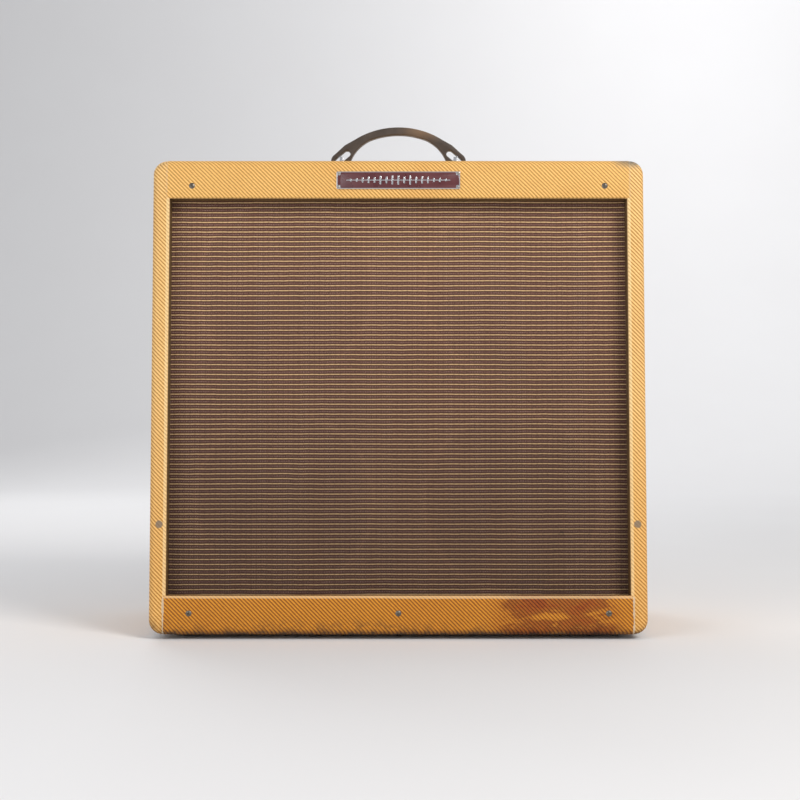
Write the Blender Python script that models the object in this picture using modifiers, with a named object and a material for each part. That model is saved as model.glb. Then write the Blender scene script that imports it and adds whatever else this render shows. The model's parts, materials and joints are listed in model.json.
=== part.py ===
"""A cloth-covered valve guitar amplifier with four loudspeakers.

The cabinet is a pine box whose front leans back. Two rails carry the loudspeaker board at the front, a
folded steel chassis hangs under the top board with its controls facing up, and two screwed panels half
close the back. Metres, +Z up, the front faces -Y, the origin is under the middle of the cabinet.
"""

import math

import bmesh
import bpy
from mathutils import Matrix, Vector

# Cabinet -----------------------------------------------------------------------------------------
CABINET_WIDTH = 0.597
CABINET_HEIGHT = 0.5715
DEPTH_AT_BASE = 0.267
DEPTH_AT_TOP = 0.232
COVER = 0.0007  # thickness of the glued cloth covering
GAP = 0.0003  # left between pieces that touch
WALL = 0.020  # outer face to inner face: covering, gap and pine board
CORNER_RADIUS = 0.017
EDGE_RADIUS = 0.0085
FINGER_COUNT = 9  # of the finger joints, along the depth
RABBET = 0.0105  # ledge left outside the rear panels, from the outer face
RAIL_SHOWN = 0.0455  # height of front above and below the grille
RAIL_DEPTH = 0.0195

# Rear panels ---------------------------------------------------------------------------------------
PANEL = 0.008
UPPER_PANEL_HEIGHT = 0.170
LOWER_PANEL_HEIGHT = 0.165
PANEL_CLEARANCE = 0.0005

# Control opening in the top board, open to the rear -------------------------------------------------
OPENING_WIDTH = 0.512
OPENING_DEPTH = 0.067

# Loudspeaker board and cloth ------------------------------------------------------------------------
CLOTH = 0.0008
BAFFLE = 0.008
BAFFLE_CLEARANCE = 0.001

# Loudspeakers ---------------------------------------------------------------------------------------
SPEAKER_X = 0.1385
SPEAKER_Z = 0.1302
SPEAKER_CENTRE = 0.2900  # up the front, from the base
SPEAKER_RADIUS = 0.1285
FLANGE = 0.0165  # width of the frame's flat rim
FLANGE_SEAT = 0.014  # how much of it bears on the board
SPEAKER_DEPTH = 0.101
BASKET_DEPTH = 0.055
MAGNET_RADIUS = 0.045
COIL_RADIUS = 0.0127
COIL_WALL = 0.0006
COIL_CLEARANCE = 0.0006
SURROUND = 0.008
WINDOW_COUNT = 6
WINDOW_SHARE = 0.72  # of the basket's round that is open between its legs
WINDOW_INNER = 0.060
WINDOW_FROM_RIM = 0.026
BASKET_SHEET = 0.003
SPEAKER_STEPS = 20

# Chassis --------------------------------------------------------------------------------------------
CHASSIS_SHEET = 0.0015
CHASSIS_WIDTH = 0.500
CHASSIS_HEIGHT = 0.070
EAR_WIDTH = 0.544
CHASSIS_LIP = 0.006  # how far the chassis runs forward of the control opening
HOLE_STEPS = 10
HOLE_DEPTH = 0.006  # of a cutter for a hole in the sheet
CONTROL_PITCH = 0.040
FIRST_KNOB_X = 0.092
JACK_PITCH = 0.028
FIRST_JACK_X = -0.142

# Controls -------------------------------------------------------------------------------------------
SHAFT_RADIUS = 0.003175
BUSH_RADIUS = 0.0047
POT_RADIUS = 0.0115
POT_HEIGHT = 0.011
KNOB_HEIGHT = 0.0165
KNOB_REACH = 0.0175
KNOB_BODY_RADIUS = 0.0095
KNOB_ABOVE_PLATE = 0.0055
STRIP = 0.0008  # thickness of the potentiometers' brass earthing strip
STRIP_HALF_WIDTH = 0.010
BUSH_SHOWN = 0.0045  # of a potentiometer's bush, above the plate
JACK_BORE = 0.0034
JACK_NUT_RADIUS = 0.0072
JACK_BODY_RADIUS = 0.0075
JACK_BODY_DEPTH = 0.016
NUT = 0.0022  # its top, above the plate
TOGGLE_BUSH_RADIUS = 0.0059
TOGGLE_BORE = 0.0043
TOGGLE_BUSH_TOP = 0.0080
TOGGLE_PIVOT = 0.0030
TOGGLE_BODY_HALF = (0.0065, 0.013)
TOGGLE_BODY_DEPTH = 0.016
TOGGLE_THROW = math.radians(24)
FUSE_RADIUS = 0.0060
FUSE_CAP_RADIUS = 0.0066
FUSE_CAP_HEIGHT = 0.0095
FUSE_STEM_RADIUS = 0.0040
FUSE_BORE = 0.0045
FUSE_DEPTH = 0.030
LAMP_RADIUS = 0.0070
LAMP_BEZEL_RADIUS = 0.0092
LAMP_DEPTH = 0.020

# Valves, transformers, circuit board and lead ---------------------------------------------------------
OCTAL_BASE = (0.0172, 0.024)  # radius and height
OCTAL_SOCKET = 0.0195
OCTAL_GLASS = {
    "rectifier_valve": (0.0165, 0.058),
    "power_valve_a": (0.0185, 0.070),
    "power_valve_b": (0.0185, 0.070),
}
SMALL_BASE = (0.0116, 0.014)
SMALL_SOCKET = 0.0130
SMALL_GLASS = (0.0108, 0.040)
CORE_HALF_WIDTH = 0.038
CORE_FRONT, CORE_REAR = 0.029, 0.028  # of the power transformer, from its middle
CORE_HEIGHT = 0.030
CORE_BELL = 0.028
IRON_FOOT = 0.010
IRON_BELL = 0.011
IRON_INSET = 0.005
CHASSIS_IRON = (  # name, middle, half width, height and stack of the ones on the chassis' front
    ("output_transformer", 0.045, 0.027, 0.046, 0.022),
    ("smoothing_choke", -0.060, 0.021, 0.036, 0.018),
)
BOARD_ENDS = (-0.180, 0.120)
BOARD = 0.0022
BOARD_STAND_OFF = 0.004
CAPACITOR_COUNT = 9
CAPACITOR_PITCH = 0.033
CAPACITOR_RADIUS = 0.0055
CAPACITOR_LENGTH = 0.030
PLUG_RADIUS = 0.0068
PLUG_LENGTH = 0.030
LEAD_RADIUS = 0.0024
RUBBER_RADIUS = 0.0095
CORD_BORE = 0.0040

# Handle ---------------------------------------------------------------------------------------------
HANDLE_FROM_FRONT = 0.080  # behind the top's front edge
HANDLE_WIDTH = 0.0115
HANDLE_CREST = 0.0498  # centreline at the middle, above the top
HANDLE_DROP = 0.0153  # of the centreline from its middle to where the ends widen
HANDLE_REACH = 0.0535  # from its middle to there
STRAP = 0.0094
EYE_X = 0.0760
EYE_Z = 0.0118
EYE_RADIUS = 0.0095
SLOT_X = 0.0650
SLOT_Z = 0.0210
SLOT_HALF = 0.0042
BAR_FROM_EYE = 0.005  # towards the slot's inner end
BAR_WIDTH = 0.005
BAR = 0.0018
BRACKET_HALF_SPAN = 0.0125
BRACKET_FOOT = 0.0120

# Base, badge ------------------------------------------------------------------------------------------
GLIDE_HEIGHT = 0.006
GLIDE_RADIUS = 0.0105
GLIDE_INSET = 0.036
NAIL_RADIUS = 0.0015
NAIL_LENGTH = 0.012
BADGE_WIDTH = 0.150
BADGE_HEIGHT = 0.022
BADGE = 0.0014
BADGE_BELOW_TOP = 0.025

# Worked out from the sizes above ------------------------------------------------------------------------
LEAN = math.atan2(DEPTH_AT_BASE - DEPTH_AT_TOP, CABINET_HEIGHT)
Y_FRONT = -DEPTH_AT_BASE / 2
Y_BACK = DEPTH_AT_BASE / 2
Z_BASE = GLIDE_HEIGHT
Z_TOP = Z_BASE + CABINET_HEIGHT
INNER_X = CABINET_WIDTH / 2 - WALL
SLOPE_HEIGHT = CABINET_HEIGHT / math.cos(LEAN)
OVER = 0.002  # how far a cutter runs past what it cuts

Y_PANEL = Y_BACK - PANEL
Y_OPENING = Y_BACK - OPENING_DEPTH
Y_CHASSIS = Y_OPENING - CHASSIS_LIP
Y_CONTROLS = (Y_OPENING + Y_PANEL) / 2
Z_PLATE = Z_TOP - WALL - GAP  # upper face of the control plate
Z_SHELF = Z_PLATE - CHASSIS_HEIGHT  # under face of the valve shelf
CHASSIS_DEPTH = Y_PANEL - 0.0005 - Y_CHASSIS

CUTOUT_RADIUS = SPEAKER_RADIUS - FLANGE_SEAT
CONE_RADIUS = SPEAKER_RADIUS - FLANGE - SURROUND

Y_CLOTH = RAIL_DEPTH + GAP
Y_BAFFLE = Y_CLOTH + CLOTH + GAP
Y_SPEAKER = Y_BAFFLE + BAFFLE + GAP

KNOB_NAMES = ("presence", "middle", "bass", "treble", "bright_volume", "normal_volume")
KNOB_TURNS = (-40, 25, 70, -15, 50, -75)  # degrees each pointer stands from straight ahead
TOGGLES = (("ground", 0.240), ("power", 0.190), ("standby", 0.130))
FUSE_X = 0.215
LAMP_X = 0.160
OCTAL_VALVES = (("rectifier_valve", 0.118), ("power_valve_a", 0.068), ("power_valve_b", 0.012))
SMALL_VALVE_X = (-0.062, -0.118, -0.174)
VALVE_Y = Y_CHASSIS + 0.0315
OCTAL_NECK = 0.0142
SMALL_NECK = 0.0095
GROMMET_X = 0.232
GROMMET_Y = VALVE_Y + 0.016
GROMMET_RADIUS = 0.0064
LEAD_SOCKET_X = -0.026
CORE_X = 0.182

FINISHES = {
    "pine": ((0.72, 0.52, 0.30), 0.65, 0.0),
    "covering": ((0.80, 0.55, 0.24), 0.55, 0.0),
    "grille": ((0.20, 0.11, 0.07), 0.85, 0.0),
    "steel": ((0.75, 0.76, 0.78), 0.18, 1.0),
    "black": ((0.03, 0.03, 0.03), 0.45, 0.0),
    "brown": ((0.09, 0.06, 0.045), 0.45, 0.0),
    "cream": ((0.85, 0.80, 0.66), 0.4, 0.0),
    "maroon": ((0.22, 0.03, 0.03), 0.3, 0.2),
    "glass": ((0.75, 0.80, 0.80), 0.08, 0.0),
    "paper": ((0.12, 0.11, 0.10), 0.9, 0.0),
    "brass": ((0.75, 0.58, 0.25), 0.35, 1.0),
    "jewel": ((0.60, 0.02, 0.02), 0.1, 0.0),
    "board": ((0.20, 0.15, 0.08), 0.7, 0.0),
    "magnet": ((0.30, 0.32, 0.35), 0.4, 0.8),
}


# Helpers ------------------------------------------------------------------------------------------------
def group(name):
    made = bpy.data.collections.new(name)
    bpy.context.scene.collection.children.link(made)
    return made


def finish_of(name):
    material = bpy.data.materials.get(name)
    if material is None:
        colour, roughness, metallic = FINISHES[name]
        material = bpy.data.materials.new(name)
        material.use_nodes = True
        shader = material.node_tree.nodes["Principled BSDF"]
        shader.inputs["Base Color"].default_value = (*colour, 1.0)
        shader.inputs["Roughness"].default_value = roughness
        shader.inputs["Metallic"].default_value = metallic
    return material


def place(name, mesh, finish, at=(0, 0, 0), turn=(0, 0, 0), parent=None):
    """A new object for this mesh: a part with its finish, or a cutter or helper where finish is None."""
    obj = bpy.data.objects.new(name, mesh)
    obj.location = at
    obj.rotation_euler = turn
    obj.parent = parent
    if finish is None:
        CUTTERS.objects.link(obj)
        obj.hide_render = True
        obj.display_type = "WIRE"
    else:
        PARTS.objects.link(obj)
        mesh.materials.append(finish_of(finish))
    return obj


def mesh_of(name, bm):
    mesh = bpy.data.meshes.new(name)
    bm.to_mesh(mesh)
    bm.free()
    return mesh


def add_box(bm, low, high):
    low, high = Vector(low), Vector(high)
    size = Matrix.Diagonal((*(high - low), 1))
    return bmesh.ops.create_cube(bm, size=1, matrix=Matrix.Translation((low + high) / 2) @ size)["verts"]


def add_cylinder(bm, base, top, radius, segments=16, top_radius=None):
    base, top = Vector(base), Vector(top)
    axis = top - base
    turn = axis.to_track_quat("Z", "Y").to_matrix().to_4x4()
    bmesh.ops.create_cone(
        bm,
        cap_ends=True,
        segments=segments,
        radius1=radius,
        radius2=radius if top_radius is None else top_radius,
        depth=axis.length,
        matrix=Matrix.Translation((base + top) / 2) @ turn,
    )


def box(name, low, high, finish, parent=None):
    bm = bmesh.new()
    add_box(bm, low, high)
    return place(name, mesh_of(name, bm), finish, parent=parent)


def boxes(name, corners):
    """One cutter made of several boxes."""
    bm = bmesh.new()
    for low, high in corners:
        add_box(bm, low, high)
    return place(name, mesh_of(name, bm), None)


def cylinders(name, ends, segments=16, finish=None, parent=None):
    """One mesh of several cylinders, each given as (base, top, radius)."""
    bm = bmesh.new()
    for base, top, radius in ends:
        add_cylinder(bm, base, top, radius, segments)
    return place(name, mesh_of(name, bm), finish, parent=parent)


def boolean(obj, other, operation="DIFFERENCE"):
    modifier = obj.modifiers.new(f"{operation.lower()} {other.name}", "BOOLEAN")
    modifier.operation = operation
    modifier.object = other
    modifier.solver = "EXACT"
    return obj


def rounded(obj, width, segments=2, angle=40):
    modifier = obj.modifiers.new("rounded edges", "BEVEL")
    modifier.width = width
    modifier.segments = segments
    modifier.limit_method = "ANGLE"
    modifier.angle_limit = math.radians(angle)
    return obj


def turned(name, profile, finish, at=(0, 0, 0), turn=(0, 0, 0), parent=None, steps=16, closed=False):
    """A profile of (radius, height) points, down its outer side, turned round its own Z axis."""
    mesh = bpy.data.meshes.new(name)
    count = len(profile)
    edges = [(i, i + 1) for i in range(count - 1)] + ([(count - 1, 0)] if closed else [])
    mesh.from_pydata([(radius, 0, height) for radius, height in profile], edges, [])
    obj = place(name, mesh, finish, at, turn, parent)
    screw = obj.modifiers.new("turned", "SCREW")
    screw.axis = "Z"
    screw.steps = steps
    screw.render_steps = steps
    screw.use_merge_vertices = True
    screw.merge_threshold = 0.00001
    screw.use_smooth_shade = True
    return obj


def flat_outline(name, loops, thickness, finish, at=(0, 0, 0), turn=(0, 0, 0), parent=None):
    """A plate cut to these closed outlines, holes among them, in its own XY plane, made a mesh."""
    curve = bpy.data.curves.new(name, "CURVE")
    curve.dimensions = "2D"
    curve.fill_mode = "BOTH"
    curve.extrude = thickness / 2
    for loop in loops:
        spline = curve.splines.new("POLY")
        spline.points.add(len(loop) - 1)
        for point, (x, y) in zip(spline.points, loop):
            point.co = (x, y, 0, 1)
        spline.use_cyclic_u = True
    return made_mesh(place_curve(name, curve), finish, at, turn, parent)


def place_curve(name, curve):
    obj = bpy.data.objects.new(name + "_curve", curve)
    PARTS.objects.link(obj)
    return obj


def made_mesh(curve_object, finish, at=(0, 0, 0), turn=(0, 0, 0), parent=None):
    """The curve object as a closed mesh object of the same name, less its ending."""
    bpy.context.view_layer.update()
    graph = bpy.context.evaluated_depsgraph_get()
    mesh = bpy.data.meshes.new_from_object(curve_object.evaluated_get(graph))
    bm = bmesh.new()
    bm.from_mesh(mesh)
    bmesh.ops.remove_doubles(bm, verts=bm.verts, dist=0.00001)
    bmesh.ops.recalc_face_normals(bm, faces=bm.faces)
    bm.to_mesh(mesh)
    bm.free()
    name = curve_object.name.removesuffix("_curve")
    bpy.data.objects.remove(curve_object)
    mesh.materials.clear()
    return place(name, mesh, finish, at, turn, parent)


def arc(centre, radius, start, end, steps):
    """Points round a circle, from one angle to another, in degrees."""
    angles = [math.radians(start + (end - start) * i / steps) for i in range(steps + 1)]
    return [(centre[0] + radius * math.cos(a), centre[1] + radius * math.sin(a)) for a in angles]


def hole_for(radius):
    """Radius of a hole whose flat sides all clear a round piece of this radius by the gap."""
    return (radius + GAP) / math.cos(math.pi / HOLE_STEPS)


ALONG_X = (math.pi / 2, 0, math.pi / 2)  # an outline's X, Y and thickness become Y, Z and X
FACING_FRONT = (math.pi / 2, 0, 0)  # an outline's X, Y and thickness become X, Z and -Y


def front_y(z):
    """Where the leaning front is at this height."""
    return Y_FRONT + (z - Z_BASE) * math.tan(LEAN)


# Cabinet ------------------------------------------------------------------------------------------------
def envelope(name, inset):
    """The cabinet's rounded outer form with its leaning front, taken in by inset."""
    bm = bmesh.new()
    half = Vector((CABINET_WIDTH / 2 - inset, DEPTH_AT_BASE / 2 - inset, CABINET_HEIGHT / 2 - inset))
    centre = Vector((0, 0, (Z_BASE + Z_TOP) / 2))
    add_box(bm, centre - half, centre + half)
    corners = [e for e in bm.edges if abs(e.verts[0].co.y - e.verts[1].co.y) > half.y]
    bevel = {"segments": 4, "profile": 0.5, "affect": "EDGES"}
    bmesh.ops.bevel(bm, geom=corners, offset=CORNER_RADIUS - inset, **bevel)
    for vert in bm.verts:
        if vert.co.y < 0:
            vert.co.y = front_y(vert.co.z) + inset / math.cos(LEAN)
    rims = [e for e in bm.edges if e.verts[0].co.y * e.verts[1].co.y > 0]
    bevel["segments"] = 2
    bmesh.ops.bevel(bm, geom=rims, offset=EDGE_RADIUS - inset, **bevel)
    bmesh.ops.triangulate(bm, faces=bm.faces)
    return place(name, mesh_of(name, bm), None)


def finger_slots(name, first, x_near, z_reach):
    """Every second finger's room at the four corners, from x_near out and z_reach past the joint."""
    pitch = DEPTH_AT_BASE / FINGER_COUNT
    corners = []
    for i in range(first, FINGER_COUNT, 2):
        back = Y_BACK - i * pitch + GAP / 2 + (OVER if i == 0 else 0)
        front = Y_BACK - (i + 1) * pitch - GAP / 2 - (OVER if i == FINGER_COUNT - 1 else 0)
        for side in (-1, 1):
            xs = sorted((side * x_near, side * (CABINET_WIDTH / 2 + OVER)))
            corners.append(((xs[0], front, Z_BASE - OVER), (xs[1], back, Z_BASE + WALL + z_reach)))
            corners.append(((xs[0], front, Z_TOP - WALL - z_reach), (xs[1], back, Z_TOP + OVER)))
    return boxes(name, corners)


def make_cabinet():
    core = envelope("pine_form", COVER + GAP)
    z_low, z_high = Z_BASE + WALL, Z_TOP - WALL
    rear = boxes(
        "rear_rabbet",
        [
            (
                (-CABINET_WIDTH / 2 + RABBET, Y_PANEL - GAP, Z_BASE + RABBET),
                (CABINET_WIDTH / 2 - RABBET, Y_BACK + OVER, Z_TOP - RABBET),
            )
        ],
    )
    half = OPENING_WIDTH / 2
    opening = boxes(
        "control_opening",
        [((-half, Y_OPENING, z_high - OVER), (half, Y_BACK + OVER, Z_TOP + OVER))],
    )
    below, above = Vector((0, 0, OVER)), Vector((0, 0, NAIL_LENGTH + OVER))
    nails = cylinders(
        "glide_nail_holes",
        [(spot - below, spot + above, NAIL_RADIUS + GAP) for spot in glide_spots()],
        segments=8,
    )
    side_slots = finger_slots("side_slots", 0, INNER_X - OVER, GAP)
    board_slots = finger_slots("board_slots", 1, INNER_X - GAP, OVER)

    far = CABINET_WIDTH
    for name, side in (("cabinet_left", -1), ("cabinet_right", 1)):
        xs = sorted((side * INNER_X, side * far))
        board = box(name, (xs[0], -far, -far), (xs[1], far, Z_TOP + OVER), "pine")
        boolean(board, core, "INTERSECT")
        for cutter in (side_slots, rear):
            boolean(board, cutter)
    top = box("cabinet_top", (-far, -far, z_high), (far, far, Z_TOP + OVER), "pine")
    bottom = box("cabinet_bottom", (-far, -far, -far), (far, far, z_low), "pine")
    for board, hole in ((top, opening), (bottom, nails)):
        boolean(board, core, "INTERSECT")
        for cutter in (board_slots, rear, hole):
            boolean(board, cutter)
    make_covering(opening, nails)
    make_rails()


def make_covering(opening, nails):
    """The glued cloth: a thin skin over the box and rails, cut away at the grille, controls and back."""
    outer = envelope("covering_form", 0)
    inner = envelope("covering_inside", COVER)
    z_low, z_high = Z_BASE + RAIL_SHOWN, Z_TOP - RAIL_SHOWN
    grille = boxes("grille_opening", [((-INNER_X, Y_FRONT - OVER, z_low), (INNER_X, 0, z_high))])
    rear = boxes(
        "rear_opening",
        [
            (
                (-CABINET_WIDTH / 2 + RABBET, Y_PANEL, Z_BASE + RABBET),
                (CABINET_WIDTH / 2 - RABBET, Y_BACK + OVER, Z_TOP - RABBET),
            )
        ],
    )
    skin = place("cloth_covering", outer.data.copy(), "covering")
    for cutter in (inner, grille, rear, opening, nails):
        boolean(skin, cutter)


def rail_outline(z_low, z_high):
    """A rail's end: its front and back lean with the cabinet's front."""
    back = RAIL_DEPTH / math.cos(LEAN)
    face = (COVER + GAP) / math.cos(LEAN)
    return [
        (front_y(z_low) + face, z_low),
        (front_y(z_low) + back, z_low),
        (front_y(z_high) + back, z_high),
        (front_y(z_high) + face, z_high),
    ]


def make_rails():
    length = 2 * (INNER_X - GAP)
    heights = {
        "front_top_rail": (Z_TOP - RAIL_SHOWN, Z_TOP - WALL - GAP),
        "front_bottom_rail": (Z_BASE + WALL + GAP, Z_BASE + RAIL_SHOWN),
    }
    for name, (low, high) in heights.items():
        flat_outline(name, [rail_outline(low, high)], length, "pine", turn=ALONG_X)


def make_rear_panels():
    half = CABINET_WIDTH / 2 - RABBET - PANEL_CLEARANCE
    tab = OPENING_WIDTH / 2 - PANEL_CLEARANCE
    upper_top = Z_TOP - RABBET - PANEL_CLEARANCE
    upper = [
        (-half, Z_TOP - UPPER_PANEL_HEIGHT),
        (half, Z_TOP - UPPER_PANEL_HEIGHT),
        (half, upper_top),
        (tab, upper_top),
        (tab, Z_TOP - COVER),
        (-tab, Z_TOP - COVER),
        (-tab, upper_top),
        (-half, upper_top),
    ]
    lower_low = Z_BASE + RABBET + PANEL_CLEARANCE
    lower = [
        (-half, lower_low),
        (half, lower_low),
        (half, Z_BASE + LOWER_PANEL_HEIGHT),
        (-half, Z_BASE + LOWER_PANEL_HEIGHT),
    ]
    middle = (0, Y_BACK - PANEL / 2, 0)
    for name, outline in (("upper_rear_panel", upper), ("lower_rear_panel", lower)):
        flat_outline(name, [outline], PANEL, "covering", at=middle, turn=FACING_FRONT)


# Front ----------------------------------------------------------------------------------------------------
def front_frame():
    """An empty in the plane of the leaning front: X across, Y into the cabinet, Z up the slope."""
    empty = bpy.data.objects.new("front_frame", None)
    PARTS.objects.link(empty)
    empty.location = (0, Y_FRONT, Z_BASE)
    empty.rotation_euler = (-LEAN, 0, 0)
    return empty


def speaker_spots():
    rows = (("upper", SPEAKER_CENTRE + SPEAKER_Z), ("lower", SPEAKER_CENTRE - SPEAKER_Z))
    sides = (("left", -SPEAKER_X), ("right", SPEAKER_X))
    return [(f"{row}_{side}", x, z) for row, z in rows for side, x in sides]


def make_baffle(frame):
    half = INNER_X - BAFFLE_CLEARANCE
    low = (WALL + BAFFLE_CLEARANCE + (Y_BAFFLE + BAFFLE) * math.sin(LEAN)) / math.cos(LEAN)
    high = (CABINET_HEIGHT - WALL - BAFFLE_CLEARANCE + Y_CLOTH * math.sin(LEAN)) / math.cos(LEAN)
    before, behind = Y_BAFFLE - OVER, Y_BAFFLE + BAFFLE + OVER
    holes = cylinders(
        "speaker_holes",
        [((x, before, z), (x, behind, z), CUTOUT_RADIUS) for _, x, z in speaker_spots()],
        segments=24,
    )
    holes.parent = frame
    baffle = box("baffle_board", (-half, Y_BAFFLE, low), (half, Y_BAFFLE + BAFFLE, high), "board", frame)
    boolean(baffle, holes)
    box("grille_cloth", (-half, Y_CLOTH, low), (half, Y_CLOTH + CLOTH, high), "grille", frame)
    box(
        "badge_plate",
        (-BADGE_WIDTH / 2, -GAP - BADGE, SLOPE_HEIGHT - BADGE_BELOW_TOP - BADGE_HEIGHT / 2),
        (BADGE_WIDTH / 2, -GAP, SLOPE_HEIGHT - BADGE_BELOW_TOP + BADGE_HEIGHT / 2),
        "maroon",
        frame,
    )


def basket_profile():
    """Frame and magnet of one loudspeaker. Heights are from the flange's front face, and go back."""
    gap_in = COIL_RADIUS - COIL_CLEARANCE
    gap_out = COIL_RADIUS + COIL_WALL + COIL_CLEARANCE
    plate = BASKET_DEPTH - 0.0005
    rim = SPEAKER_RADIUS - FLANGE
    seat = MAGNET_RADIUS + 0.005
    inner = [
        (0, -plate),
        (gap_in, -plate),
        (gap_in, -plate - 0.0135),
        (gap_out, -plate - 0.0135),
        (gap_out, -plate),
        (seat, -plate),
        (rim - 0.013, -0.018),
        (rim, 0),
        (SPEAKER_RADIUS, 0),
    ]
    outer = [
        (SPEAKER_RADIUS, -BASKET_SHEET),
        (rim + 0.0015, -BASKET_SHEET),
        (rim - 0.011, -0.020),
        (seat + 0.001, -plate - BASKET_SHEET),
        (MAGNET_RADIUS, -plate - 0.006),
        (MAGNET_RADIUS, -SPEAKER_DEPTH + 0.010),
        (MAGNET_RADIUS - 0.012, -SPEAKER_DEPTH),
        (0, -SPEAKER_DEPTH),
    ]
    return inner + outer


def cone_profile():
    """Paper cone, centre dome and voice-coil tube as they are glued together."""
    coil_out = COIL_RADIUS + COIL_WALL
    coil_end = -BASKET_DEPTH - 0.0075
    neck = -BASKET_DEPTH + 0.010
    front = [(0, neck + 0.011), (0.018, neck + 0.005), (CONE_RADIUS, -0.0030)]
    back = [(CONE_RADIUS, -0.0042), (coil_out, neck - 0.002)]
    tube = [(coil_out, coil_end), (COIL_RADIUS, coil_end), (COIL_RADIUS, neck + 0.003)]
    return front + back + tube + [(0, neck + 0.0095)]


def make_speakers(frame):
    towards_front = (math.pi / 2, 0, 0)
    half_angle = math.pi / WINDOW_COUNT * WINDOW_SHARE
    for name, x, z in speaker_spots():
        bm = bmesh.new()
        for i in range(WINDOW_COUNT):
            middle = math.tau * (i + 0.5) / WINDOW_COUNT
            add_window(bm, middle, half_angle, WINDOW_INNER, SPEAKER_RADIUS - WINDOW_FROM_RIM)
        stand = {"at": (x, Y_SPEAKER, z), "turn": towards_front, "parent": frame}
        windows = place(f"windows_{name}", mesh_of(f"windows_{name}", bm), None, **stand)
        basket = turned(f"speaker_{name}", basket_profile(), "magnet", steps=SPEAKER_STEPS, **stand)
        boolean(basket, windows)
        turned(f"cone_{name}", cone_profile(), "paper", steps=SPEAKER_STEPS, **stand)


def add_window(bm, middle, half_angle, inner, outer):
    """A wedge that cuts one opening between two legs of a basket."""
    depth_low, depth_high = -BASKET_DEPTH - 0.004, -0.0085
    ring = []
    for angle, radius in (
        (middle - half_angle, inner),
        (middle - half_angle, outer),
        (middle + half_angle, outer),
        (middle + half_angle, inner),
    ):
        ring.append((radius * math.cos(angle), radius * math.sin(angle)))
    low = [bm.verts.new((x, y, depth_low)) for x, y in ring]
    face = bm.faces.new(low)
    face.normal_update()
    if face.normal.z > 0:
        face.normal_flip()
    sides = bmesh.ops.extrude_face_region(bm, geom=[face], use_keep_orig=True)["geom"]
    for vert in sides:
        if isinstance(vert, bmesh.types.BMVert):
            vert.co.z = depth_high
    bmesh.ops.recalc_face_normals(bm, faces=bm.faces)


# Chassis and electrics ------------------------------------------------------------------------------------
def knob_spots():
    return [(name, FIRST_KNOB_X - i * CONTROL_PITCH) for i, name in enumerate(KNOB_NAMES)]


def jack_spots():
    names = ("bright_jack_1", "bright_jack_2", "normal_jack_1", "normal_jack_2")
    return [(name, FIRST_JACK_X - i * JACK_PITCH) for i, name in enumerate(names)]


def make_chassis():
    y_back = Y_CHASSIS + CHASSIS_DEPTH
    half = CHASSIS_WIDTH / 2
    body = box("chassis", (-half, Y_CHASSIS, Z_SHELF), (half, y_back, Z_PLATE), "steel")
    s = CHASSIS_SHEET
    hollow = boxes(
        "chassis_hollow",
        [((-half + s, Y_CHASSIS + s, Z_SHELF + s), (half - s, y_back + OVER, Z_PLATE - s))],
    )
    ears = box(
        "control_plate_ears",
        (-EAR_WIDTH / 2, Y_CHASSIS, Z_PLATE - s),
        (EAR_WIDTH / 2, y_back, Z_PLATE),
        None,
    )
    boolean(body, ears, "UNION")
    boolean(body, hollow)
    boolean(body, chassis_holes())


def chassis_holes():
    """Round holes in the control plate and the valve shelf, with the power transformer's window."""
    bm = bmesh.new()
    plate = [(x, BUSH_RADIUS) for _, x in knob_spots() + jack_spots()]
    plate += [(x, TOGGLE_BUSH_RADIUS) for _, x in TOGGLES]
    plate += [(FUSE_X, FUSE_RADIUS), (LAMP_X, LAMP_RADIUS)]
    for x, radius in plate:
        low, high = Z_PLATE - HOLE_DEPTH, Z_PLATE + OVER
        add_cylinder(bm, (x, Y_CONTROLS, low), (x, Y_CONTROLS, high), hole_for(radius), HOLE_STEPS)
    shelf = [(x, VALVE_Y, OCTAL_NECK) for _, x in OCTAL_VALVES]
    shelf += [(x, VALVE_Y, SMALL_NECK) for x in SMALL_VALVE_X]
    shelf += [(GROMMET_X, GROMMET_Y, GROMMET_RADIUS), (LEAD_SOCKET_X, VALVE_Y, BUSH_RADIUS)]
    low, high = Z_SHELF - OVER, Z_SHELF + HOLE_DEPTH
    for x, y, radius in shelf:
        add_cylinder(bm, (x, y, low), (x, y, high), hole_for(radius), HOLE_STEPS)
    add_box(bm, (CORE_X - 0.027, VALVE_Y - 0.021, low), (CORE_X + 0.027, VALVE_Y + 0.021, high))
    return place("chassis_holes", mesh_of("chassis_holes", bm), None)


def make_potentiometers():
    """Six potentiometers clamped to the brass earthing strip behind the control plate."""
    z_strip = Z_PLATE - CHASSIS_SHEET - GAP
    xs = [x for _, x in knob_spots()]
    end = POT_RADIUS + 0.0025
    strip = box(
        "potentiometers",
        (xs[-1] - end, Y_CONTROLS - STRIP_HALF_WIDTH, z_strip - STRIP),
        (xs[0] + end, Y_CONTROLS + STRIP_HALF_WIDTH, z_strip),
        "brass",
    )
    bush_top = Z_PLATE + BUSH_SHOWN
    can_top = z_strip - STRIP / 2

    def rods(low, high, radius):
        return [((x, Y_CONTROLS, low), (x, Y_CONTROLS, high), radius) for x in xs]

    cans = rods(can_top - POT_HEIGHT, can_top, POT_RADIUS)
    bushes = rods(z_strip - 0.006, bush_top, BUSH_RADIUS)
    bores = rods(z_strip - POT_HEIGHT + 0.002, bush_top + OVER, SHAFT_RADIUS + GAP)
    boolean(strip, cylinders("potentiometer_cans", cans, HOLE_STEPS), "UNION")
    boolean(strip, cylinders("potentiometer_bushes", bushes, HOLE_STEPS), "UNION")
    boolean(strip, cylinders("potentiometer_bores", bores, HOLE_STEPS))


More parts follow.
